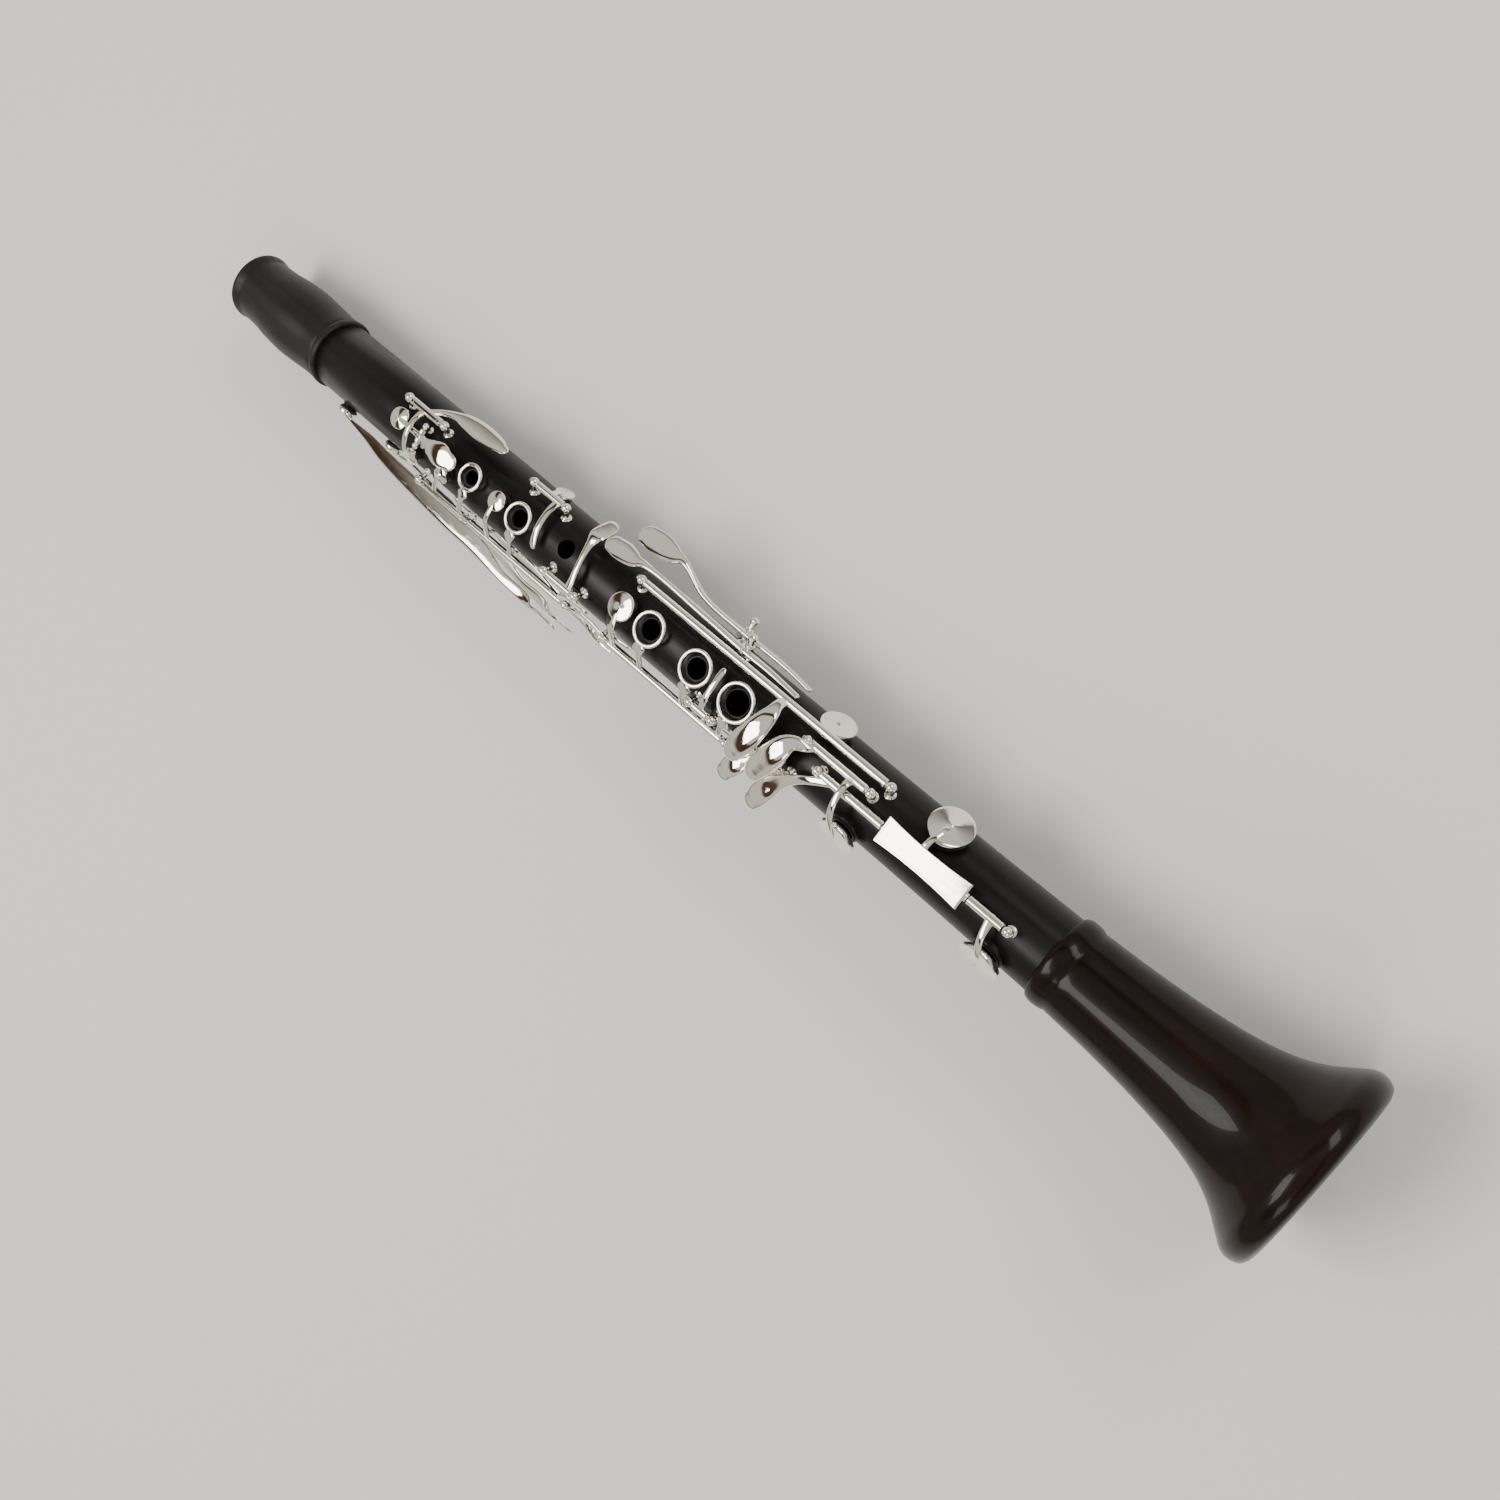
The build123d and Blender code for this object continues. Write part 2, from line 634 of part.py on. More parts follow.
def trill_key(name):
    """A long side lever: a deep thin blade in a plane through the bore."""
    pivot, press, height = trills[name]
    station, angle, radius, _ = upper_pads[name]
    rise = cup_top(upper_pads[name]) - 0.3
    deep = {"trill_1": 29.0, "trill_2": 26.0}.get(name, 24.0)
    with BuildPart() as lever:
        with BuildSketch(side(angle)) as blade:
            with BuildLine():
                Line((station + 2, rise), (station + 2, rise + 1.2))
                Spline(
                    (station + 2, rise + 1.2), (station - 18 * (station - pivot) / 60, deep - 3.4),
                    (pivot, deep), (press + 6, height), tangents=[(-1, 0.35), (-1, 0.3)],
                )
                Line((press + 6, height), (press + 6, height - 1.4))
                Spline(
                    (press + 6, height - 1.4), (pivot - 8, trill_pivot_radius + 0.4),
                    (pivot + 8, trill_pivot_radius + 0.4), (station - radius - 2, rise + 1.0),
                    (station + 2, rise), tangents=[(1, -0.45), (1, -0.2)],
                )
            make_face()
        extrude(blade.sketch, amount=0.9, both=True)
        across(pivot, angle, trill_pivot_radius, 1.3, cross_hub)
        touch(press, angle, height - 1.4, 15, 6.0)
        cup(upper_pads[name])
        across(pivot, angle, trill_pivot_radius, 6, cross_pin + running_gap, Mode.SUBTRACT)
    keep(lever.part, name + "_key")


for name in trills:
    trill_key(name)


# --- Keys of the lower joint ---

with BuildPart() as right_ring_key:
    for _, station, _, _, radius in lower_fingers:
        ring(station, radius)
    key_tube(264.5, 331.3, stack)
    strap([(313.7, 21, 19.5), (312, 36, 19.6), (311, stack, rod_radius)], 2.4)
    strap([(287.5, 22, 19.6), (287, 36, 19.7), (287, stack, rod_radius)], 2.4)
    strap([(265.6, 24, 19.9), (266, 36, 19.8), (266, stack, rod_radius)], 2.4)
    strap([(329, 0, 20.2), (328, 26, 20.8), (327, stack, rod_radius)], 2.4)
    strap([(330, stack, rod_radius), (331, 44, 22.0), (345.5, 41, 21.8)], 2.6)
    cup(lower_pads["right_ring"])
    open_tube(264.5, 331.3, stack)
keep(right_ring_key.part, "right_ring_key")

with BuildPart() as lower_sliver_key:
    key_tube(272.5, 280.1, low_sliver_line)
    strap([(276.5, low_sliver_line, rod_radius), (276.5, 16, 20.0), (276.5, -3, 19.4), (276.8, -22, 19.2)], 2.6, 1.4)
    strap([(276.5, 36, 20.1), (276.5, 43, 17.8), (276.5, 62, 17.5), (276.5, 75, 18.8), (276.5, 86, 19.2)], 2.4, 1.2)
    cup(lower_pads["lower_sliver"])
    open_tube(272.5, 280.1, low_sliver_line)
keep(lower_sliver_key.part, "lower_sliver_key")

with BuildPart() as a_flat_key:
    key_tube(197.7, 327.1, a_flat_line)
    strap([(249, a_flat_line, rod_radius), (249.4, -26, 22.8), (250, -10, 23.4)], 4.0, 1.4)
    touch(250.2, 10, 22.6, 10.6, 24, 2.2, -14)
    strap([(229, a_flat_line, rod_radius), (229, -50, 19.9), (229, -62, 18.9)], 3.0)
    cup(lower_pads["a_flat"])
    open_tube(197.7, 327.1, a_flat_line)
keep(a_flat_key.part, "a_flat_key")

with BuildPart() as f_sharp_key:
    key_tube(201.8, 229.2, f_sharp_line)
    strap([(227, f_sharp_line, rod_radius), (229, -11, 23.4), (238, -8, 23.4)], 3.4, 1.4)
    touch(238.8, 13, 22.6, 10.6, 25, 2.2, -14)
    strap([(208, f_sharp_line, rod_radius), (208, -11, 23.8), (207, 12, 24.6), (204.5, 40, 22.8), (203.3, 53, 21.4)], 3.0)
    cup(lower_pads["f_sharp"])
    open_tube(201.8, 229.2, f_sharp_line)
keep(f_sharp_key.part, "f_sharp_key")

with BuildPart() as e_key:
    low_end, plate_low, plate_high, high_end = 130.9, 147.0, 187.8, 218.7
    key_tube(low_end, plate_low - 0.4, e_line)
    key_tube(plate_high + 0.4, high_end, e_line)
    along(low_end - 2, high_end - low_end + 4, e_line, rod_radius, rod_thickness)
    strap([(136, e_line, rod_radius), (134.5, 18, 22.6), (132.6, 38, 22.6), (132, 53, 21.7)], 3.0)
    strap([(214, e_line, rod_radius), (220, 14, 22.4), (228, 40, 24.6), (236, 59, 26.8)], 3.2, 1.4)
    touch(237, 63.6, 27.4, 9.8, 14.5, 2.4, lean=25)
    cup(lower_pads["e"])
keep(e_key.part, "e_key")

with BuildPart() as f_key:
    key_tube(plate_low, plate_high, e_line)
    with BuildSketch(facing((plate_low + plate_high) / 2, e_line, rod_radius + 1.05)) as plate:
        with BuildLine():
            ThreePointArc((-19.8, 5.5), (0, 4.7), (19.8, 5.5))
            Line((19.8, 5.5), (19.8, -5.5))
            ThreePointArc((19.8, -5.5), (0, -4.7), (-19.8, -5.5))
            Line((-19.8, -5.5), (-19.8, 5.5))
        make_face()
    extrude(plate.sketch, amount=1.85)
    strap([(171, e_line, rod_radius + 0.2), (170.4, -20, 22.1), (169.4, -36, 21.7), (169, -48, 21.1)], 3.1)
    cup(lower_pads["f"])
    open_tube(plate_low, plate_high, e_line)
keep(f_key.part, "f_key")

with BuildPart() as f_touch_key:
    along(234.1, 17.8, f_touch_line, f_touch_radius, tube_thickness - 0.25)
    strap([(247, f_touch_line, f_touch_radius), (249.5, 47, 21.8), (252.5, 59, 26.2)], 3.2, 1.4)
    touch(253, 63, 27.0, 9.4, 13.5, 2.4, lean=25)
    strap([(237, f_touch_line, f_touch_radius), (236, 14, 18.6)], 2.6)
    open_tube(234.1, 251.9, f_touch_line, f_touch_radius)
keep(f_touch_key.part, "f_touch_key")


def left_lever(name):
    """A long lever that carries a left hand touch past the right hand holes."""
    angle, pivot, _, (press, turn, rise, length) = left_levers[name]
    height = left_pivot_radius
    with BuildPart() as lever:
        strap([
            (247.5, angle, height - 0.2), (262, angle, height + 0.9), (pivot, angle, height + 0.7),
            (pivot + 22, angle, height + 2.0), (press - 8, (angle + 3 * turn) / 4 - 2, rise + 0.5),
        ], 2.7, 1.8)
        across(pivot, angle, height, 1.3, 2.0)
        touch(press, turn, rise, length, 10.5, lean=turn / 2)
        across(pivot, angle, height, 5, rod_thickness + running_gap, Mode.SUBTRACT)
    keep(lever.part, name + "_lever")


for name in left_levers:
    left_lever(name)


# --- The instrument lies on its back, on the bell's rim and the thumb rest ---

lean = degrees(atan2(rim_radius - rest_reach, rest_station + 3.4 - rim_station))
tipped = [piece.moved(Location((0, 0, 0), (0, lean, 0))) for piece in pieces]
box = Compound(children=[piece.moved(Location()) for piece in tipped]).bounding_box()
lying = Location((-(box.min.X + box.max.X) / 2, 0, -box.min.Z), (0, lean, 0))

for piece in pieces:
    placed = piece.moved(lying)
    placed.label = piece.label
    export_step(placed, f"parts/{piece.label}.step")
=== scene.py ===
import json
import math

import bmesh
import bpy
import numpy as np
from mathutils import Matrix, Vector


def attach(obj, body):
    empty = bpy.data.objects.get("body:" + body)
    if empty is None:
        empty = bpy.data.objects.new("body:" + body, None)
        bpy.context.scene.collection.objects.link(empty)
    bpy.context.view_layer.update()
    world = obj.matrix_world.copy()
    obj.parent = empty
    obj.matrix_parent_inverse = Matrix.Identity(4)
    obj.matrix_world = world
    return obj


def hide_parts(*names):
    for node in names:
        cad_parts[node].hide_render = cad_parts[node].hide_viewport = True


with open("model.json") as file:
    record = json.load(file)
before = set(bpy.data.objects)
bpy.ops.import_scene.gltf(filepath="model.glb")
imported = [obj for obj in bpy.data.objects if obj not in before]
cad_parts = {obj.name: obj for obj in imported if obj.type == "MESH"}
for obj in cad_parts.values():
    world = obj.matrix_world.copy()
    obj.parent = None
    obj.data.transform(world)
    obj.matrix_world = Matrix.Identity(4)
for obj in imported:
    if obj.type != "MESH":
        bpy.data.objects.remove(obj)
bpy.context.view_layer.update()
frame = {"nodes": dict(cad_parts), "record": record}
print("frame loaded")

# All shapes are drawn along the bore, in millimetres, and then laid down as the instrument
# lies. A spot is a station up from the bell's mouth, a turn from the front towards the
# player's right, and a reach from the bore's axis.
mounts = {mount["name"]: mount for mount in frame["record"]["mounts"]}
socketStation = 585.0
boreLine = Vector(mounts["mouthpiece_socket"]["axis"]).normalized()
playerRight = Vector((0, 1, 0))
frontLine = boreLine.cross(playerRight)
bellMouth = Vector(mounts["mouthpiece_socket"]["pos_m"]) - boreLine * socketStation / 1000
lieDown = Matrix.Translation(bellMouth) @ Matrix((
    (boreLine.x, playerRight.x, frontLine.x, 0),
    (boreLine.y, playerRight.y, frontLine.y, 0),
    (boreLine.z, playerRight.z, frontLine.z, 0),
    (0, 0, 0, 1),
)) @ Matrix.Scale(0.001, 4)


# ---- drawing tools

def spot(station, turn, reach):
    angle = math.radians(turn)
    return Vector((station, reach * math.sin(angle), reach * math.cos(angle)))


def flow(points, steps=6):  # a smooth line through points of any size, evenly eased
    known = [np.array(point, float) for point in points]
    known = [2 * known[0] - known[1]] + known + [2 * known[-1] - known[-2]]
    line = []
    for p0, p1, p2, p3 in zip(known, known[1:], known[2:], known[3:]):
        t1 = max(np.linalg.norm(p1 - p0), 1e-6) ** 0.5
        t2 = t1 + max(np.linalg.norm(p2 - p1), 1e-6) ** 0.5
        t3 = t2 + max(np.linalg.norm(p3 - p2), 1e-6) ** 0.5
        for step in range(steps):
            t = t1 + (t2 - t1) * step / steps
            a1 = p0 * (t1 - t) / t1 + p1 * t / t1
            a2 = p1 * (t2 - t) / (t2 - t1) + p2 * (t - t1) / (t2 - t1)
            a3 = p2 * (t3 - t) / (t3 - t2) + p3 * (t - t2) / (t3 - t2)
            b1 = a1 * (t2 - t) / t2 + a2 * t / t2
            b2 = a2 * (t3 - t) / (t3 - t1) + a3 * (t - t1) / (t3 - t1)
            line.append(b1 * (t2 - t) / (t2 - t1) + b2 * (t - t1) / (t2 - t1))
    line.append(known[-2])
    return [tuple(float(value) for value in point) for point in line]


def newShape():
    return {"points": [], "faces": []}


def skin(shape, rings, closed=False):  # joins a row of rings; a closed row has no ends
    first, size, count = len(shape["points"]), len(rings[0]), len(rings)
    for ring in rings:
        shape["points"].extend(ring)
    for i in range(count if closed else count - 1):
        for k in range(size):
            low, high = first + i * size, first + (i + 1) % count * size
            shape["faces"].append((low + k, low + (k + 1) % size, high + (k + 1) % size, high + k))
    if not closed:
        shape["faces"].append(tuple(range(first + size - 1, first - 1, -1)))
        shape["faces"].append(tuple(range(first + (count - 1) * size, first + count * size)))


def turned(shape, base, line, outline, facets=48, closed=False):  # turns (height, radius) points
    line = line.normalized()
    side = line.orthogonal().normalized()
    other = line.cross(side)
    rings = []
    for height, radius in outline:
        rings.append([
            base + line * height
            + (side * math.cos(k * math.tau / facets) + other * math.sin(k * math.tau / facets))
            * max(radius, 0.01)
            for k in range(facets)
        ])
    skin(shape, rings, closed)


def bar(shape, points, square=2.6, under=0.75, samples=7, facets=20, wide=None):
    # a swept bar: each point is station, turn, reach, width, thickness and, where it differs from
    # the turn, the way its face looks
    line = flow([(*spot(*point[:3]), point[3], point[4],
        *spot(0, (point[5:] or point[1:2])[0], 1)[1:]) for point in points], samples)
    places = [Vector(point[:3]) for point in line]
    last = len(places) - 1
    frames = []
    for i, place in enumerate(places):
        run = (places[min(i + 1, last)] - places[max(i - 1, 0)]).normalized()
        if wide is None:
            out = Vector((0, line[i][5], line[i][6])).normalized()
            flat = (out - run * out.dot(run)).normalized()
            across = flat.cross(run)
        else:
            across = wide
            flat = run.cross(across).normalized()
        frames.append((place, run, flat, across, line[i][3], line[i][4]))

    def ring(place, flat, across, width, thick):
        edge = []
        for k in range(facets):
            c, s = math.cos(k * math.tau / facets), math.sin(k * math.tau / facets)
            x = math.copysign(abs(c) ** (2 / square), c) * width / 2
            y = math.copysign(abs(s) ** (2 / square), s) * thick / 2
            edge.append(place + across * x + flat * (y if y > 0 else y * under))
        return edge

    rings = [ring(place, flat, across, width, thick) for place, _, flat, across, width, thick in frames]
    for end, sign in ((frames[0], -1), (frames[-1], 1)):
        place, run, flat, across, width, thick = end
        caps = []
        for share in (0.3, 0.55, 0.76, 0.9, 0.97, 0.995):
            fall = math.sqrt(1 - share * share)
            middle = place + run * sign * share * width * 0.46
            caps.append(ring(middle, flat, across, width * fall, thick * fall ** 0.6))
        rings = rings + caps if sign > 0 else caps[::-1] + rings
    skin(shape, rings)


def finish(shape, name, body, material, crease=38, nodes=()):
    mesh = bpy.data.meshes.new(name)
    mesh.from_pydata([tuple(point) for point in shape["points"]], [], shape["faces"])
    work = bmesh.new()
    work.from_mesh(mesh)
    bmesh.ops.recalc_face_normals(work, faces=work.faces)
    for edge in work.edges:
        edge.smooth = len(edge.link_faces) == 2 and edge.calc_face_angle(0) < math.radians(crease)
    for face in work.faces:
        face.smooth = True
    work.to_mesh(mesh)
    work.free()
    mesh.transform(lieDown)
    piece = bpy.data.objects.new(name, mesh)
    bpy.context.scene.collection.objects.link(piece)
    mesh.materials.append(material)
    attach(piece, body)
    if nodes:
        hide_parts(*nodes)
    return piece


# ---- effects shared by the materials

def nodeGroup(name, inputs, outputs):
    group = bpy.data.node_groups.new(name, "ShaderNodeTree")
    for label, kind, value in inputs:
        socket = group.interface.new_socket(name=label, in_out="INPUT", socket_type=kind)
        socket.default_value = value
    for label, kind in outputs:
        group.interface.new_socket(name=label, in_out="OUTPUT", socket_type=kind)
    return group, group.nodes.new("NodeGroupInput"), group.nodes.new("NodeGroupOutput")


def noiseAt(group, coordinates, scale, detail, stretch=(1, 1, 1)):
    mapping = group.nodes.new("ShaderNodeMapping")
    mapping.inputs["Scale"].default_value = stretch
    group.links.new(coordinates, mapping.inputs["Vector"])
    noise = group.nodes.new("ShaderNodeTexNoise")
    noise.inputs["Scale"].default_value = scale
    noise.inputs["Detail"].default_value = detail
    group.links.new(mapping.outputs["Vector"], noise.inputs["Vector"])
    return noise.outputs["Fac"]


def spread(group, source, low, high, toLow=0.0, toHigh=1.0):  # stretches a value's range
    node = group.nodes.new("ShaderNodeMapRange")
    node.inputs["From Min"].default_value = low
    node.inputs["From Max"].default_value = high
    node.inputs["To Min"].default_value = toLow
    node.inputs["To Max"].default_value = toHigh
    group.links.new(source, node.inputs["Value"])
    return node.outputs["Result"]


def combine(group, kind, first, second):
    node = group.nodes.new("ShaderNodeMath")
    node.operation = kind
    for socket, value in zip(node.inputs, (first, second)):
        if isinstance(value, (int, float)):
            socket.default_value = value
        else:
            group.links.new(value, socket)
    return node.outputs["Value"]


def blendColours(group, amount, first, second):
    node = group.nodes.new("ShaderNodeMix")
    node.data_type = "RGBA"
    for socket, value in ((node.inputs["Factor"], amount), (node.inputs["A"], first),
        (node.inputs["B"], second)):
        if isinstance(value, tuple):
            socket.default_value = value
        else:
            group.links.new(value, socket)
    return node.outputs["Result"]


def makeBlackwoodGrain():  # fine straight grain and open pores along the bore
    group, given, result = nodeGroup(
        "blackwoodGrain",
        [
            ("Dark", "NodeSocketColor", (0.01, 0.008, 0.007, 1)),
            ("Light", "NodeSocketColor", (0.04, 0.03, 0.025, 1)),
            ("Shine", "NodeSocketFloat", 0.35),
        ],
        [("Color", "NodeSocketColor"), ("Roughness", "NodeSocketFloat"), ("Height", "NodeSocketFloat")],
    )
    place = group.nodes.new("ShaderNodeTexCoord").outputs["Object"]
    streaks = spread(group, noiseAt(group, place, 260, 5, (0.035, 1, 1)), 0.35, 0.7)
    bands = spread(group, noiseAt(group, place, 45, 3, (0.12, 1, 1)), 0.3, 0.7)
    pores = spread(group, noiseAt(group, place, 1500, 2, (0.06, 1, 1)), 0.6, 0.72)
    handled = spread(group, noiseAt(group, place, 22, 3), 0.35, 0.7)
    grain = combine(group, "ADD", combine(group, "MULTIPLY", streaks, 0.6),
        combine(group, "MULTIPLY", bands, 0.4))
    group.links.new(
        blendColours(group, grain, given.outputs["Dark"], given.outputs["Light"]),
            result.inputs["Color"],
    )
    dulling = combine(group, "ADD", combine(group, "MULTIPLY", handled, 0.09),
        combine(group, "MULTIPLY", pores, 0.16))
    group.links.new(combine(group, "ADD", given.outputs["Shine"], dulling), result.inputs["Roughness"])
    depth = combine(group, "SUBTRACT", combine(group, "MULTIPLY", streaks, 0.35), pores)
    group.links.new(depth, result.inputs["Height"])
    return group


def makeHandledMetal():  # faint scratches and a warm breath of tarnish
    group, given, result = nodeGroup(
        "handledMetal",
        [
            ("Bright", "NodeSocketColor", (0.93, 0.9, 0.84, 1)),
            ("Tarnish", "NodeSocketColor", (0.62, 0.5, 0.36, 1)),
            ("Shine", "NodeSocketFloat", 0.1),
            ("Amount", "NodeSocketFloat", 0.35),
        ],
        [("Color", "NodeSocketColor"), ("Roughness", "NodeSocketFloat"), ("Height", "NodeSocketFloat")],
    )
    place = group.nodes.new("ShaderNodeTexCoord").outputs["Object"]
    clouds = spread(group, noiseAt(group, place, 90, 4), 0.48, 0.75)
    scratches = spread(group, noiseAt(group, place, 1400, 3, (0.08, 1, 0.6)), 0.55, 0.75)
    smears = spread(group, noiseAt(group, place, 300, 3), 0.4, 0.75)
    stain = combine(group, "MULTIPLY", clouds, given.outputs["Amount"])
    group.links.new(
        blendColours(group, stain, given.outputs["Bright"], given.outputs["Tarnish"]),
            result.inputs["Color"],
    )
    marks = combine(group, "ADD", combine(group, "MULTIPLY", scratches, 0.05),
        combine(group, "MULTIPLY", smears, 0.04))
    group.links.new(combine(group, "ADD", given.outputs["Shine"], marks), result.inputs["Roughness"])
    group.links.new(scratches, result.inputs["Height"])
    return group


def makeSoftSkin():  # creased thin skin, or crumbly cork
    group, given, result = nodeGroup(
        "softSkin",
        [
            ("Dark", "NodeSocketColor", (0.02, 0.016, 0.014, 1)),
            ("Light", "NodeSocketColor", (0.07, 0.055, 0.045, 1)),
            ("Scale", "NodeSocketFloat", 900.0),
        ],
        [("Color", "NodeSocketColor"), ("Roughness", "NodeSocketFloat"), ("Height", "NodeSocketFloat")],
    )
    place = group.nodes.new("ShaderNodeTexCoord").outputs["Object"]
    cells = group.nodes.new("ShaderNodeTexVoronoi")
    group.links.new(place, cells.inputs["Vector"])
    group.links.new(given.outputs["Scale"], cells.inputs["Scale"])
    folds = spread(group, noiseAt(group, place, 700, 4), 0.35, 0.7)
    tone = combine(group, "MULTIPLY", cells.outputs["Distance"], folds)
    group.links.new(
        blendColours(group, tone, given.outputs["Dark"], given.outputs["Light"]),
            result.inputs["Color"],
    )
    group.links.new(spread(group, folds, 0, 1, 0.55, 0.85), result.inputs["Roughness"])
    group.links.new(combine(group, "ADD", cells.outputs["Distance"], folds), result.inputs["Height"])
    return group


def makeMaterial(name, effect, values, metal=0.0, coat=0.0, coatRoughness=0.1, bump=0.1, fine=0.00005,
    sheen=0.0, mirror=0.5):
    material = bpy.data.materials.new(name)
    material.use_nodes = True
    tree = material.node_tree
    shader = tree.nodes["Principled BSDF"]
    shader.inputs["Metallic"].default_value = metal
    shader.inputs["Coat Weight"].default_value = coat
    shader.inputs["Coat Roughness"].default_value = coatRoughness
    shader.inputs["Sheen Weight"].default_value = sheen
    shader.inputs["Specular IOR Level"].default_value = mirror
    surface = tree.nodes.new("ShaderNodeGroup")
    surface.node_tree = effect
    for label, value in values.items():
        surface.inputs[label].default_value = value
    raised = tree.nodes.new("ShaderNodeBump")
    raised.inputs["Strength"].default_value = bump
    raised.inputs["Distance"].default_value = fine
    tree.links.new(surface.outputs["Color"], shader.inputs["Base Color"])
    tree.links.new(surface.outputs["Roughness"], shader.inputs["Roughness"])
    tree.links.new(surface.outputs["Height"], raised.inputs["Height"])
    tree.links.new(raised.outputs["Normal"], shader.inputs["Normal"])
    return material


grain, metalWear, softSkin = makeBlackwoodGrain(), makeHandledMetal(), makeSoftSkin()
jointWood = makeMaterial(
    "satinBlackwood", grain,
    {"Dark": (0.003, 0.0027, 0.0026, 1), "Light": (0.011, 0.009, 0.0085, 1), "Shine": 0.3},
    bump=0.3, coat=0.02, coatRoughness=0.25, mirror=0.22,
)
barrelWood = makeMaterial(
    "charcoalBlackwood", grain,
    {"Dark": (0.007, 0.0066, 0.0068, 1), "Light": (0.02, 0.0186, 0.019, 1), "Shine": 0.42},
    bump=0.3, coat=0.0, coatRoughness=0.4, mirror=0.28,
)
bellWood = makeMaterial(
    "polishedBlackwood", grain,
    {"Dark": (0.003, 0.0016, 0.0013, 1), "Light": (0.014, 0.0046, 0.003, 1), "Shine": 0.26},
    bump=0.04, coat=0.16, coatRoughness=0.03, mirror=0.12,
)
silver = makeMaterial(
    "silverPlate", metalWear,
    {"Bright": (0.98, 0.95, 0.87, 1), "Tarnish": (0.72, 0.59, 0.42, 1), "Shine": 0.045, "Amount": 0.22},
    metal=1, bump=0.08,
)
steel = makeMaterial(
    "turnedSteel", metalWear,
    {"Bright": (0.6, 0.59, 0.57, 1), "Tarnish": (0.3, 0.26, 0.22, 1), "Shine": 0.22, "Amount": 0.5},
    metal=1, bump=0.12,
)
bluedSteel = makeMaterial(
    "bluedSpring", metalWear,
    {"Bright": (0.1, 0.12, 0.2, 1), "Tarnish": (0.16, 0.1, 0.06, 1), "Shine": 0.25, "Amount": 0.5},
    metal=1, bump=0.05,
)
padSkin = makeMaterial(
    "padSkin", softSkin,
    {"Dark": (0.016, 0.013, 0.012, 1), "Light": (0.075, 0.06, 0.05, 1), "Scale": 1100.0}, bump=0.3,
        sheen=0.1,
)
cork = makeMaterial(
    "naturalCork", softSkin,
    {"Dark": (0.2, 0.11, 0.05, 1), "Light": (0.62, 0.42, 0.24, 1), "Scale": 900.0}, bump=0.5,
)
print("materials made")


# ---- the wooden body

body = {
    "bellTop": 113.5, "seam": 337.0, "upperTop": 531.6,
    "waist": 15.2, "foot": 16.4, "flare": 15.5, "top": 15.1,
    "seatRise": 0.95, "ringHeight": 18.3,
}


def woodReach(station):  # outside of the joints at a station
    if station < body["bellTop"] + 72:
        return body["foot"] - (body["foot"] - body["flare"]) * (station - body["bellTop"]) / 72
    if station < body["seam"]:
        share = (station - body["bellTop"] - 72) / (body["seam"] - body["bellTop"] - 72)
        return body["flare"] - (body["flare"] - body["waist"]) * share
    return body["waist"] - (body["waist"] - body["top"]) * max(0,
        station - 480) / (body["upperTop"] - 480)


# finger holes: station, turn, hole radius, ring radius
fingers = {
    "first": (423.8, 0.0, 3.4, 5.4), "second": (393.0, 0.0, 3.7, 6.1), "third": (367.7, -8.0, 4.0, 0.0),
    "fourth": (313.7, 0.0, 4.2, 6.8), "fifth": (287.5, 0.0, 4.2, 7.0), "sixth": (265.0, 0.0, 5.0, 7.6),
}
# pad cups: station, turn, cup radius, gap under the pad
cups = {
    "throat_a": (470.8, 0.0, 4.8, 0.2), "throat_g_sharp": (459.0, 36.0, 3.9, 0.2),
    "first_ring": (438.0, 24.0, 3.7, 0.9), "second_ring": (405.3, 0.0, 4.3, 1.5),
    "upper_sliver": (388.0, -72.0, 4.2, 0.2), "c_sharp": (362.0, 88.0, 3.6, 0.2),
    "trill_1": (512.0, 84.0, 4.6, 0.2), "trill_2": (484.0, 101.0, 4.4, 0.2),
    "trill_3": (441.0, 116.0, 4.2, 0.2), "trill_4": (392.0, 132.0, 4.4, 0.2),
    "right_ring": (329.0, 0.0, 6.0, 1.5), "lower_sliver": (276.5, 86.0, 4.6, 0.2),
    "a_flat": (229.0, -62.0, 7.4, 0.2), "f_sharp": (203.3, 53.0, 8.6, 2.2),
    "f": (169.0, -48.0, 9.0, 2.0), "e": (132.0, 53.0, 9.0, 2.0),
}
register = {"station": 517.0, "seat": 16.3, "cup": 3.4, "thumb": 457.0}
alongBore = Vector((1, 0, 0))


def addRoundHoles(piece, holes):  # cuts the tone holes through the wood
    cutter = newShape()
    for station, turn, radius in holes:
        turned(cutter, spot(station, turn, 4.5), spot(0, turn, 1), [(0, radius), (18, radius)], 40)
    mesh = bpy.data.meshes.new("holeCutter")
    mesh.from_pydata([tuple(point) for point in cutter["points"]], [], cutter["faces"])
    mesh.transform(lieDown)
    tool = bpy.data.objects.new("holeCutter", mesh)
    bpy.context.scene.collection.objects.link(tool)
    cut = piece.modifiers.new("holes", "BOOLEAN")
    cut.object = tool
    cut.operation = "DIFFERENCE"
    cut.solver = "EXACT"
    whole = bpy.context.evaluated_depsgraph_get()
    result = bpy.data.meshes.new_from_object(piece.evaluated_get(whole), depsgraph=whole)
    piece.modifiers.clear()
    piece.data = result
    bpy.data.objects.remove(tool)


def woodJoint(name, outline, holes, material):
    shape = newShape()
    turned(shape, Vector((0, 0, 0)), alongBore, outline, 96, closed=True)
    piece = finish(shape, name + "_wood", "body", material, nodes=[name])
    if holes:
        addRoundHoles(piece, holes)
    return piece


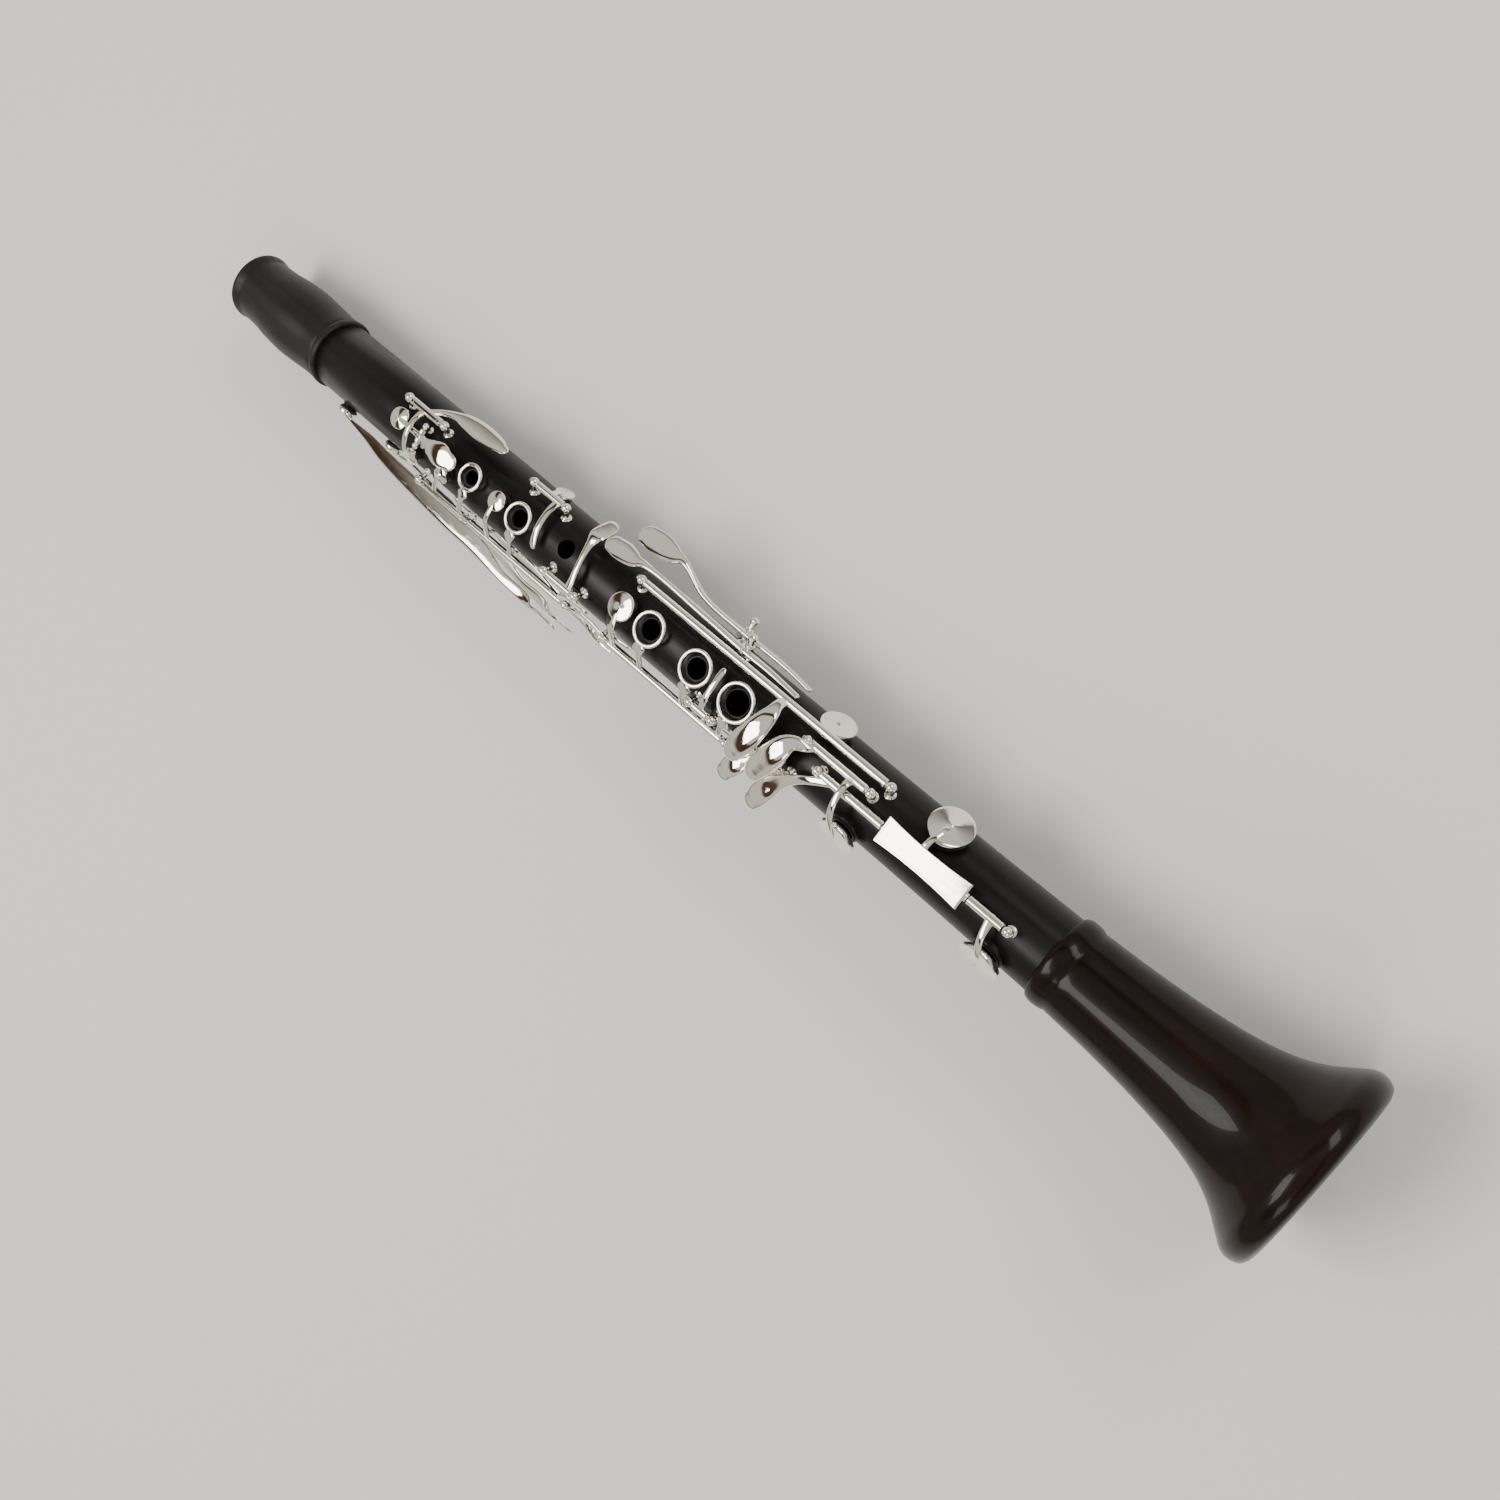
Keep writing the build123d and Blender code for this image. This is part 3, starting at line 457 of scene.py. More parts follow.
def toneRim(shape, station, turn, inner, outer, top):  # a raised rim with a rolled edge
    foot = woodReach(station) - 1.6
    outline = [
        (foot, outer + 0.5), (woodReach(station) - 0.1, outer + 0.45),
        (woodReach(station) + 0.25, outer + 0.12),
        (top - 0.3, outer), (top - 0.08, outer - 0.1), (top, outer - 0.35), (top, inner + 0.35),
        (top - 0.1, inner + 0.1), (top - 0.35, inner), (foot, inner),
    ]
    turned(shape, Vector((station, 0, 0)), spot(0, turn, 1), outline, 48, closed=True)


def holesOn(low, high):
    cuts, rims = [], newShape()
    for station, turn, radius, ring in fingers.values():
        if low < station < high:
            cuts.append((station, turn, radius))
            if ring:
                toneRim(rims, station, turn, radius, ring - 1.85, body["ringHeight"] - 1.15)
    for station, turn, radius, _ in cups.values():
        if low < station < high:
            cuts.append((station, turn, radius * 0.55))
            toneRim(rims, station, turn, radius * 0.55, radius * 0.74,
                woodReach(station) + body["seatRise"])
    return cuts, rims


lowerOutline = [
    (91.2, 11.2), (91.2, 13.5), (91.8, 13.8), (113.3, 13.8), (113.5, 16.1), (113.8, 16.4),
    *flow([(114.4, 16.4), (149.5, 15.85), (185.5, 15.5), (336.4, 15.2)], 8),
    (336.8, 15.1), (337.0, 14.8), (337.0, 11.75), (321.4, 11.75), (321.4, 7.4), (210, 7.4),
    *flow([(205, 7.42), (150, 8.8), (92, 11.15)], 5),
]
upperOutline = [
    (321.7, 7.4), (321.7, 11.4), (322, 11.65), (336.9, 11.65), (337.0, 14.8), (337.3, 15.12),
    (338, 15.2), (480, 15.2), (531.2, 15.1), (531.5, 14.9), (531.6, 14.5), (531.6, 11.45),
    (548.9, 11.45), (549.2, 11.2), (549.2, 7.4),
]
barrelOutline = [
    (531.6, 15.7), *flow([(531.75, 16.1), (532.5, 16.45), (533.4, 16.5), (534.6, 16.2), (535.1, 15.85)],
    4),
    *flow([(535.8, 16.02), (542, 16.0), (551, 16.6), (560, 17.05), (570, 16.6), (580, 15.5),
        (588, 15.0)], 6),
    *flow([(589.6, 15.0), (591.5, 15.5), (593.2, 15.8), (594.5, 15.45), (595, 14.6), (594.6, 13.6)], 4),
    (593.6, 11.2), (577, 11.2), (577, 7.4), (549.6, 7.4), (549.6, 11.55), (531.8, 11.55), (531.6, 11.8),
]
bellOutline = [
    (0, 30.2), (0, 34.2), *flow([(0.15, 35.4), (0.9, 37.4), (1.9, 38.7), (4.2, 39.9), (7, 40.2),
    (9.6, 39.5)], 5),
    *flow([(11, 38.6), (15.4, 35.3), (22, 30.6), (31, 26.4), (45, 22.8), (63, 20.3), (85, 18.5),
        (103.6, 17.65)], 6),
    *flow([(104.6, 17.45), (105.4, 17.7), (107.4, 18.3), (109.6, 18.45), (111.6, 18.3), (113, 17.8)],
        4),
    (113.5, 17.3), (113.5, 13.9), (90.7, 13.9), (90.7, 11.3),
    *flow([(89, 11.34), (60, 13.6), (45, 16.1), (30, 19.4), (15, 24.0), (4, 28.4), (0.6, 29.8)], 6),
]

lowerCuts, lowerRims = holesOn(body["bellTop"], body["seam"])
upperCuts, upperRims = holesOn(body["seam"], body["upperTop"])
upperCuts += [(register["station"], 180.0, 2.5), (register["thumb"], 180.0, 4.2)]
woodJoint("lower_joint", lowerOutline, lowerCuts, jointWood)
woodJoint("upper_joint", upperOutline, upperCuts, jointWood)
woodJoint("barrel", barrelOutline, [], barrelWood)
woodJoint("bell", bellOutline, [], bellWood)
finish(lowerRims, "lower_tone_rims", "body", jointWood)
finish(upperRims, "upper_tone_rims", "body", jointWood)

thumbHole = newShape()
turned(
    thumbHole, Vector((register["thumb"], 0, 0)), spot(0, 180, 1),
    [(7.8, 3.4), (7.8, 4.15), (16.6, 4.15), (16.95, 3.95), (17.0, 3.75), (16.9, 3.5), (16.6, 3.4)], 48,
        closed=True,
)
finish(thumbHole, "thumb_hole_tube", "body", silver, nodes=["thumb_tube"])
registerVent = newShape()
turned(
    registerVent, Vector((register["station"], 0, 0)), spot(0, 180, 1),
    [(5, 1.5), (5, 2.45), (16.0, 2.45), (16.25, 2.3), (16.3, 2.0), (16.2, 1.6), (15.9, 1.5)], 40,
        closed=True,
)
finish(registerVent, "register_vent", "body", silver, nodes=["register_tube"])
print("wood turned")


# ---- posts, rods and springs

hinges = {
    "stack": 54.8, "throat": -28.0, "sliver": -46.4, "cSharp": 28.3, "thumb": 150.0, "aFlat": -38.2,
    "fSharp": -19.7, "e": -2.3, "fTouch": 30.0, "lowSliver": 36.0, "reach": 20.8, "fTouchReach": 19.0,
}
rods = {  # hinge rods: low post, high post, turn, reach
    "upper": [
        (355.8, 450.7, 54.8, 20.8), (448.2, 471.4, -28.0, 20.8), (378.1, 397.8, -46.4, 20.8),
        (350.5, 369.2, 28.3, 20.8), (441.5, 472.5, 150.0, 20.8),
    ],
    "lower": [
        (262.2, 333.6, 54.8, 20.8), (270.2, 282.4, 36.0, 20.8), (195.4, 329.4, -38.2, 20.8),
        (199.5, 231.5, -19.7, 20.8), (231.8, 254.2, 30.0, 19.0), (128.6, 221.0, -2.3, 20.8),
    ],
}
crossHinges = {"throat_a": (456.0, 0.0, 18.9, 4.6), "register": (497.0, 180.0, 18.4, 4.4)}
# side trill levers: pivot, touch, touch reach, blade's greatest reach
trills = {
    "trill_1": (425.0, 368.0, 31.5, 29.0), "trill_2": (418.0, 366.0, 30.5, 26.0),
    "trill_3": (402.0, 345.0, 29.0, 24.0), "trill_4": (372.0, 343.0, 28.0, 24.0),
}
trillReach = 19.6
# left hand levers: turn, pivot, post's turn, then the touch's station, turn, reach and length
leftLevers = {
    "left_e": (-72.5, 285.0, -85.0, (331.0, -71.6, 27.8, 27.0)),
    "left_f_sharp": (-51.0, 277.0, -61.5, (342.0, -45.5, 23.4, 22.0)),
}
leverReach = 20.4


def addPost(shape, station, turn, reach, ball=2.1, stem=1.3, flange=2.3):  # a turned pillar with a ball
    wood = woodReach(station)
    outline = [(12.4, stem)] if ball > 2 else [(12.4, 1.0)]
    if flange:
        outline += [(wood - 0.1, stem), (wood - 0.1, flange), (wood + 0.35, flange),
            (wood + 0.62, flange - 0.25)]
        outline += [(wood + 0.8, stem + 0.35)]
    outline += flow([(wood + 1.3, stem + 0.05), (wood + 2.2, stem - 0.2),
        (reach - ball - 0.3, stem - 0.1)], 3)
    outline += [
        (reach + ball * math.sin(math.radians(rise)), ball * math.cos(math.radians(rise)))
        for rise in range(-56, 90, 10)
    ]
    turned(shape, Vector((station, 0, 0)), spot(0, turn, 1), outline, 28)


def slotHead(shape, centre, line, radius, thick=0.35):  # a screw head with its slot
    line = line.normalized()
    side = line.orthogonal().normalized()
    other = line.cross(side)
    turned(shape, centre, line, [(-0.4, radius), (0.05, radius), (0.1, radius - 0.04)], 28)
    for sign in (1, -1):
        edge = []
        for k in range(15):
            angle = math.radians(12 + k * 156 / 14) * sign
            edge.append(side * math.cos(angle) * radius * 0.985 + other * math.sin(angle) * radius * 0.985)
        low = [centre + line * 0.08 + point for point in edge]
        high = [centre + line * thick + point * 0.93 for point in edge]
        skin(shape, [low, high])


def crossPlaces():
    for station, turn, reach, half in crossHinges.values():
        for shift in (-half, half):
            lean = math.atan2(shift, reach)
            yield station, turn + math.degrees(lean), reach / math.cos(lean)
    for name, (pivot, _, _, _) in trills.items():
        for lean in (-8.5, 8.5):
            yield pivot, cups[name][1] + lean, trillReach / math.cos(math.radians(lean))


for joint in ("upper", "lower"):
    posts, heads = newShape(), newShape()
    for low, high, turn, reach in rods[joint]:
        for station, sign in ((low, -1), (high, 1)):
            addPost(posts, station, turn, reach)
            slotHead(heads, spot(station + sign * 1.95, turn, reach), alongBore * sign, 1.05)
        if (low, high) != (128.6, 221.0):
            turned(heads, spot(low - 1, turn, reach), alongBore, [(0, 0.9), (high - low + 2, 0.9)], 20)
    if joint == "upper":
        for station, turn, reach in crossPlaces():
            addPost(posts, station, turn, reach, 1.5, 1.0, 1.5)
        for station, turn, reach, half in crossHinges.values():
            across = spot(0, turn + 90, 1)
            turned(heads, spot(station, turn, reach) - across * half, across,
                [(0, 0.6), (2 * half, 0.6)], 16)
            for sign in (-1, 1):
                slotHead(heads, spot(station, turn, reach) + across * sign * (half + 1.35),
                    across * sign, 0.8, 0.3)
        for name, (pivot, _, _, _) in trills.items():
            across = spot(0, cups[name][1] + 90, 1)
            middle = spot(pivot, cups[name][1], trillReach)
            turned(heads, middle - across * 3, across, [(0, 0.6), (6, 0.6)], 16)
            for sign in (-1, 1):
                slotHead(heads, middle + across * sign * 4.3, across * sign, 0.75, 0.3)
    else:
        for turn, pivot, postTurn, _ in leftLevers.values():
            reach = leverReach / math.cos(math.radians(postTurn - turn))
            addPost(posts, pivot, postTurn, reach)
            turned(posts, Vector((pivot, 0, 0)), spot(0, postTurn, 1),
                   [(reach + 1.7, 1.3), (reach + 3.6, 1.25), (reach + 3.8, 1.7), (reach + 4.5, 1.95),
                       (reach + 5.3, 1.95), (reach + 5.9, 1.4), (reach + 6.3, 0.8), (reach + 6.4, 0.2)],
                       24)
            across = spot(0, turn + 90, 1)
            length = leverReach * abs(math.sin(math.radians(postTurn - turn))) + 3
            turned(heads, spot(pivot, turn, leverReach) + across * 1.6, -across,
                [(0, 0.9), (length, 0.9)], 20)
            slotHead(heads, spot(pivot, turn, leverReach) + across * 1.75, across, 1.35, 0.35)
    finish(posts, joint + "_pillars", "body", silver, nodes=[joint + "_posts"])
    finish(heads, joint + "_rods_and_screws", "body", steel, nodes=[joint + "_rods"])

springs = newShape()
for station, turn in (
    (419.4, 54.8), (448.2, -28.0), (378.1, -46.4), (441.5, 150.0), (262.2, 54.8), (270.2, 36.0),
    (195.4, -38.2), (199.5, -19.7), (128.6, -2.3), (231.8, 30.0), (350.5, 28.3),
):
    length = 5.0 if station == 350.5 else 8.0
    turned(springs, spot(station + 1.2, turn, 17.2), alongBore,
        [(0, 0.25), (length * 0.5, 0.24), (length, 0.1)], 12)
finish(springs, "spring_needles", "body", bluedSteel, nodes=["needle_springs"])

rest = {"station": 296.0, "screwShift": 7.0}
thumbRest = newShape()
bar(
    thumbRest,
    [
        (303.2, 180, 16.1, 7.0, 1.5), (300.6, 180, 16.2, 12.4, 1.7), (297.5, 180, 16.8, 12.9, 2.1),
        (297.3, 180, 20, 12.6, 2.4), (298.2, 180, 23.6, 12.2, 2.3), (298.9, 180, 26.4, 10.4, 2.0),
    ],
    square=4, under=1, wide=Vector((0, 1, 0)), samples=6, facets=28,
)
bar(
    thumbRest, [(289.2, 180, 16.05, 6.6, 1.4), (292, 180, 16.1, 11.6, 1.6),
        (297, 180, 16.3, 12.9, 1.8)],
    square=4, under=1, wide=Vector((0, 1, 0)), samples=6, facets=28,
)
finish(thumbRest, "thumb_rest_hook", "body", silver, nodes=["thumb_rest"])
restScrews = newShape()
for shift in (-rest["screwShift"], rest["screwShift"]):
    slotHead(restScrews, spot(rest["station"] + shift, 180, 17.15), spot(0, 180, 1), 1.9, 0.5)
finish(restScrews, "rest_screws", "body", steel, nodes=["thumb_rest_screws"])
frame["nodes"]["tenon_corks"].data.materials.clear()
frame["nodes"]["tenon_corks"].data.materials.append(cork)
print("posts, rods, springs and thumb rest set")


# ---- keys: tubes (low, high, turn, reach), rings, and arms and touches as bars

stack, reach = hinges["stack"], hinges["reach"]
keys = {
    "register": {
        "hubs": [(497, 180, 18.4, 2.7)],
        "bars": [[
            (517, 180, 20.0, 2.6, 1.1), (508, 180, 20.3, 3.0, 1.4), (497, 180, 19.4, 3.6, 1.7),
            (488, 180, 19.8, 4.4, 1.4), (481, 180, 20.1, 8.0, 1.4), (474, 180, 20.1, 9.2, 1.4),
            (469.6, 180, 19.9, 7.0, 1.2),
        ]],
    },
    "throat_a": {
        "hubs": [(456, 0, 18.9, 2.9)],
        "bars": [[
            (470.8, 0, 19.2, 2.0, 1.0), (464, 0, 19.7, 2.4, 1.5), (456, 0, 20.0, 2.8, 1.8),
            (450, 0, 21.4, 3.6, 1.6), (446, 0, 22.1, 7.0, 1.7), (440, 0, 22.3, 10.2, 1.9),
            (434, 0, 21.9, 7.2, 1.5),
        ]],
    },
    "throat_g_sharp": {
        "tubes": [(450.5, 469.1, hinges["throat"], reach)],
        "bars": [
            [
                (460.5, -28, 20.9, 3.4, 1.8), (460.5, -14, 22.7, 2.6, 1.5), (460.2, 4, 23.1, 2.4, 1.5),
                (459.6, 22, 21.7, 2.4, 1.4), (459, 36, 19.3, 2.4, 1.1),
            ],
            [
                (458.6, -28, 20.9, 3.4, 1.8), (453.6, -37, 22.1, 3.0, 1.6),
                (446, -43.6, 23.8, 4.4, 1.5),
                (440, -46, 24.2, 7.8, 1.6), (431, -47, 24.2, 9.6, 1.6), (422, -47, 24.1, 8.0, 1.5),
                (418, -47, 24.0, 5.0, 1.3),
            ],
        ],
    },
    "thumb_ring": {
        "tubes": [(443.8, 470.2, hinges["thumb"], reach)],
        "rings": [(457, 5.9, 180, 17.6)],
        "bars": [[(457, 160.5, 18.6, 3.0, 1.4), (457, 158, 19.3, 2.8, 1.4),
            (457, 150, 20.8, 3.2, 1.8)]],
    },
    "first_ring": {
        "tubes": [(421.7, 448.4, stack, reach)],
        "rings": [(423.8, 5.4, 0, 18.3)],
        "bars": [
            [(423.8, 25, 18.9, 5.6, 1.5), (423.9, 31, 19.4, 2.8, 1.5), (424, 40, 19.9, 2.3, 1.6),
                (424, stack, 20.9, 3.2, 1.8)],
            [(438, 24, 19.8, 2.0, 1.1), (440, 40, 20.1, 2.2, 1.4), (441, stack, 20.9, 3.2, 1.8)],
        ],
    },
    "second_ring": {
        "tubes": [(358.1, 417.1, stack, reach)],
        "rings": [(393, 6.1, 0, 18.3)],
        "bars": [
            [(393, 27, 19.2, 6.0, 1.5), (392.4, 33, 19.6, 2.9, 1.5), (391.4, 42, 20.0, 2.4, 1.6),
                (391, stack, 20.9, 3.2, 1.8)],
            [(405.3, 0, 20.4, 2.0, 1.1), (406, 26, 21.1, 2.2, 1.5), (405, stack, 20.9, 3.2, 1.8)],
            [(360, stack, 20.8, 3.4, 1.8), (358, 44, 20.1, 3.0, 1.5), (350, 41, 19.8, 2.8, 1.3),
                (344.8, 41, 19.8, 3.4, 1.3)],
        ],
    },
    "upper_sliver": {
        "tubes": [(380.4, 395.5, hinges["sliver"], reach)],
        "bars": [
            [
                (383, -46.4, 20.9, 3.6, 1.8), (382.8, -28, 19.8, 3.0, 1.5), (381.8, -6, 19.1, 3.0, 1.4),
                (380.4, 12, 18.9, 3.2, 1.3), (379.8, 15, 18.9, 2.6, 1.2),
            ],
            [(388, -46.4, 20.9, 3.2, 1.8), (388, -60, 20.1, 2.4, 1.4), (388, -72, 19.2, 2.2, 1.1)],
        ],
    },
    "c_sharp": {
        "tubes": [(352.8, 366.9, hinges["cSharp"], reach)],
        "bars": [
            [
                (355, 28.3, 20.9, 3.6, 1.8), (355, 10, 19.9, 3.0, 1.5), (356.6, -14, 19.6, 2.8, 1.5),
                (357.4, -32, 21.2, 4.0, 1.5), (357.4, -40, 22.7, 6.6, 1.5),
                (357.2, -49, 22.9, 7.4, 1.5),
                (357, -60, 23.6, 6.6, 1.4),
            ],
            [
                (362, 28.3, 20.2, 2.8, 1.4), (362, 36, 17.6, 2.4, 1.2), (362, 58, 17.1, 2.2, 1.1),
                (362, 76, 18.5, 2.2, 1.2), (362, 88, 19.2, 2.0, 1.0),
            ],
        ],
    },
    "right_ring": {
        "tubes": [(264.5, 331.3, stack, reach)],
        "rings": [(313.7, 6.8, 0, 18.3), (287.5, 7.0, 0, 18.3), (265.0, 7.6, 0, 18.3)],
        "bars": [
            [(313.7, 29, 19.4, 6.6, 1.5), (312.8, 35, 19.8, 3.1, 1.5), (311.6, 44, 20.2, 2.6, 1.7),
                (311, stack, 20.9, 3.4, 1.8)],
            [(287.5, 29.5, 19.5, 6.6, 1.5), (287.3, 35.5, 19.9, 3.1, 1.5), (287.1, 44, 20.3, 2.6, 1.7),
                (287, stack, 20.9, 3.4, 1.8)],
            [(265.6, 31, 19.9, 6.4, 1.5), (265.8, 37, 20.1, 3.1, 1.5), (266, 45, 20.4, 2.7, 1.7),
                (266.2, stack, 20.9, 2.8, 1.8)],
            [(329, 0, 20.4, 2.4, 1.2), (328, 26, 21.1, 2.6, 1.6), (327, stack, 20.9, 3.4, 1.8)],
            [(329.6, stack, 20.9, 3.0, 1.8), (331, 46, 21.9, 2.8, 1.5), (337, 41, 22.0, 2.8, 1.4),
                (344.6, 41, 21.9, 3.4, 1.4)],
        ],
    },
    "lower_sliver": {
        "tubes": [(272.5, 280.1, hinges["lowSliver"], reach)],
        "bars": [
            [
                (276.5, 36, 20.9, 3.2, 1.8), (276.5, 16, 20.2, 2.6, 1.5), (276.5, -3, 19.5, 2.6, 1.4),
                (276.8, -17, 19.3, 2.8, 1.3), (276.9, -20, 19.3, 2.2, 1.2),
            ],
            [
                (276.5, 36, 20.2, 2.6, 1.4), (276.5, 43, 17.6, 2.2, 1.2), (276.5, 60, 17.2, 2.2, 1.1),
                (276.5, 74, 18.5, 2.2, 1.2), (276.5, 86, 19.2, 2.0, 1.0),
            ],
        ],
    },
    "a_flat": {
        "tubes": [(197.7, 327.1, hinges["aFlat"], reach)],
        "bars": [
            [
                (249, -38.2, 20.8, 4.4, 2.2), (249.2, -28, 22.6, 4.6, 2.3),
                (248.4, -15, 24.2, 7.4, 3.0, -8),
                (249.0, -2, 24.6, 9.8, 3.6, 0), (250.5, 12, 24.7, 10.6, 4.0, 6),
                (252.2, 24, 25.5, 10.4, 3.8, 8), (253.0, 31, 26.4, 9.0, 3.4, 8),
            ],
            [(229, -38.2, 20.9, 3.6, 1.8), (229, -50, 20.1, 2.8, 1.5), (229, -62, 19.2, 2.4, 1.2)],
        ],
    },
    "f_sharp": {
        "tubes": [(201.8, 229.2, hinges["fSharp"], reach)],
        "bars": [
            [
                (227, -19.7, 20.9, 3.8, 2.0), (229.6, -13.5, 23.2, 3.8, 2.0),
                (233.6, -10, 24.0, 5.8, 2.6, -6),
                (236.2, -2, 24.0, 9.0, 3.9, 0), (238.2, 10, 23.8, 10.6, 4.6, 6),
                (240.4, 24, 24.2, 10.8, 4.4, 8), (241.8, 34, 25.6, 9.2, 3.8, 8),
            ],
            [
                (208, -19.7, 21.0, 4.0, 1.9), (208, -10, 23.8, 3.0, 1.6), (207, 12, 24.7, 2.8, 1.6),
                (204.6, 40, 22.9, 2.8, 1.5), (203.3, 53, 21.7, 2.6, 1.2),
            ],
        ],
    },
    "e": {
        "tubes": [(130.9, 146.6, hinges["e"], reach), (188.2, 218.7, hinges["e"], reach)],
        "bars": [
            [(136, -2.3, 20.9, 4.0, 1.9), (134.5, 18, 22.7, 2.8, 1.6), (132.6, 38, 22.8, 2.8, 1.5),
                (132, 53, 21.9, 2.6, 1.2)],
            [
                (214, -2.3, 21.0, 3.8, 1.9), (219, 6, 21.4, 3.4, 1.7), (225, 17, 21.2, 3.6, 1.8, 12),
                (230.4, 31, 20.8, 5.4, 2.6, 8),
                (234.2, 44, 22.0, 8.8, 4.0, 4), (236.4, 54, 24.4, 10.2, 5.2, 2),
                (238.2, 61.5, 27.2, 10.2, 5.2, 2), (239.2, 65.4, 29.0, 9.4, 4.6, 2),
            ],
        ],
    },
    "f": {
        "tubes": [(147.0, 187.8, hinges["e"], reach)],
        "bars": [[(171, -2.3, 21.2, 4.0, 1.8), (170.4, -20, 22.3, 2.8, 1.6),
            (169.4, -36, 22.0, 2.8, 1.5), (169, -48, 21.4, 2.6, 1.2)]],
        "plate": (147.6, 187.2),
    },
    "f_touch": {
        "tubes": [(234.1, 251.9, hinges["fTouch"], hinges["fTouchReach"])],
        "bars": [
            [
                (247, 30, 19.1, 3.8, 1.8), (248.6, 38, 19.8, 4.4, 1.9, 16),
                (250.4, 46, 21.2, 7.2, 3.2, 8),
                (252.4, 53.5, 23.6, 9.8, 4.8, 4), (254.4, 60, 26.2, 10.0, 5.0, 2),
                (255.4, 63.5, 27.8, 9.2, 4.4, 2),
            ],
            [(237, 30, 19.0, 3.0, 1.6), (236, 16, 18.6, 2.6, 1.3)],
        ],
    },
}
for name, (turn, pivot, _, (press, swing, rise, length)) in leftLevers.items():
    leaf, face = (11.2, 0.5) if name == "left_e" else (9.8, 0.9)  # touch width, and its outward look
    press += 3 if name == "left_e" else 0
    keys[name] = {
        "hubs": [(pivot, turn, leverReach, 1.3)],
        "bars": [[
            (248.2, turn, 20.2, 2.2, 1.5), (262, turn, 21.3, 2.6, 1.9), (pivot, turn, 21.2, 2.9, 2.4),
            (pivot + 22, turn, 22.4, 2.8, 2.2),
            (press - length * 0.44, (turn + 3 * swing) / 4 - 2, rise + 0.8, 3.2, 2.0, swing * face),
            (press - length * 0.22, swing, rise + 0.8, leaf * 0.76, 1.8, swing * face),
            (press + length * 0.08, swing, rise + 0.8, leaf, 1.7, swing * face),
            (press + length * 0.28, swing, rise + 0.7, leaf * 0.88, 1.5, swing * face),
        ]],
    }
for name, (pivot, press, rise, deep) in trills.items():
    station, turn = cups[name][:2]
    seat = woodReach(station) + body["seatRise"] + 3.2
    keys[name] = {
        "hubs": [(pivot, turn, trillReach, 1.3)],
        "square": 5,
        "bars": [[  # a deep thin blade: its middle lies between the lower and the upper edge
            (station + 1, turn, seat, 2.0, 1.0), (station - 4, turn, seat + 0.6, 2.2, 1.4),
            *((at, turn, (low + high) / 2, 1.9, high - low) for at, low, high in (
                (station - 0.2 * (station - pivot), seat - 0.9, deep - 6.2),
                (station - 0.35 * (station - pivot), seat - 0.4, deep - 3.6),
                (station - 0.65 * (station - pivot), seat, deep - 1.2),
                (pivot + 8, trillReach + 0.6, deep), (pivot - 8, trillReach + 0.6, deep + 0.3),
                ((pivot + press) / 2, (trillReach + rise) / 2, (deep + rise) / 2 + 0.5),
                (press + 12, rise - 5.2, rise - 0.2),
            )),
            (press + 8, turn, rise - 1.2, 3.4, 2.4, turn - 14),
            (press + 3, turn, rise - 0.6, 7.4, 1.7, turn - 26),
            (press - 2, turn, rise - 0.4, 8.6, 1.6, turn - 28),
            (press - 6, turn, rise - 0.4, 7.0, 1.5, turn - 28),
        ]],
    }


def addCup(shape, station, turn, radius, face):  # a shallow cup with a rolled rim and a pointed back
    rim, top = face + 0.8, face + 2.7
    outline = [
        (rim, radius - 0.45), (rim, radius - 0.08), (rim + 0.12, radius), (top - 0.35, radius),
        (top - 0.08, radius - 0.12),
        *flow([(top + 0.03, radius - 0.4), (top + 0.25, radius * 0.7), (top + 0.62, radius * 0.3),
            (top + 0.95, 0.55)], 4),
        (top + 1.12, 0.3), (top + 1.16, 0.05), (top - 0.75, 0.05), (top - 0.75, radius - 0.6),
        (top - 0.9, radius - 0.45),
    ]
    turned(shape, Vector((station, 0, 0)), spot(0, turn, 1), outline, 48, closed=True)


def addPad(shape, station, turn, radius, face):  # a skin-covered pad with the seat's print in it
    edge, dent = radius - 0.55, radius * 0.66
    outline = [
        (face + 2.0, 0.02), (face + 2.0, edge), (face + 0.5, edge),
        *flow([(face + 0.25, edge - 0.02), (face + 0.04, edge - 0.3),
        (face, edge * 0.86), (face + 0.1, dent), (face + 0.02, dent * 0.85), (face + 0.02, 0.3)], 3),
        (face + 0.02, 0.02),
    ]
    turned(shape, Vector((station, 0, 0)), spot(0, turn, 1), outline, 48)


def addPlate(shape, low, high, turn, height):  # the long plate: waisted sides, raised border
    half, middle = (high - low) / 2, (high + low) / 2
    lift, side = spot(0, turn, 1), spot(0, turn + 90, 1)
    rings = []
    for share in (-1, -0.985, -0.955, -0.9499, -0.7, -0.4, 0, 0.4, 0.7, 0.9499, 0.955, 0.985, 1):
        wide = 4.5 + 1.0 * share * share - (0.25 if abs(share) == 1 else 0)
        sunk = 0.4 if abs(share) < 0.953 else 0.0
        top = height + 1.8 - (0.15 if abs(share) == 1 else 0)
        base = spot(middle + share * half, turn, 0)
        edge = []
        for x, z in (
            (-wide + 0.2, height), (-wide, height + 0.25), (-wide, top - 0.25), (-wide + 0.2, top),
            (-wide + 0.75, top),
            (-wide + 0.9, top - sunk), (wide - 0.9, top - sunk), (wide - 0.75, top), (wide - 0.2, top),
            (wide, top - 0.25), (wide, height + 0.25), (wide - 0.2, height),
        ):
            edge.append(base + side * x + lift * z)
        rings.append(edge)
    skin(shape, rings)


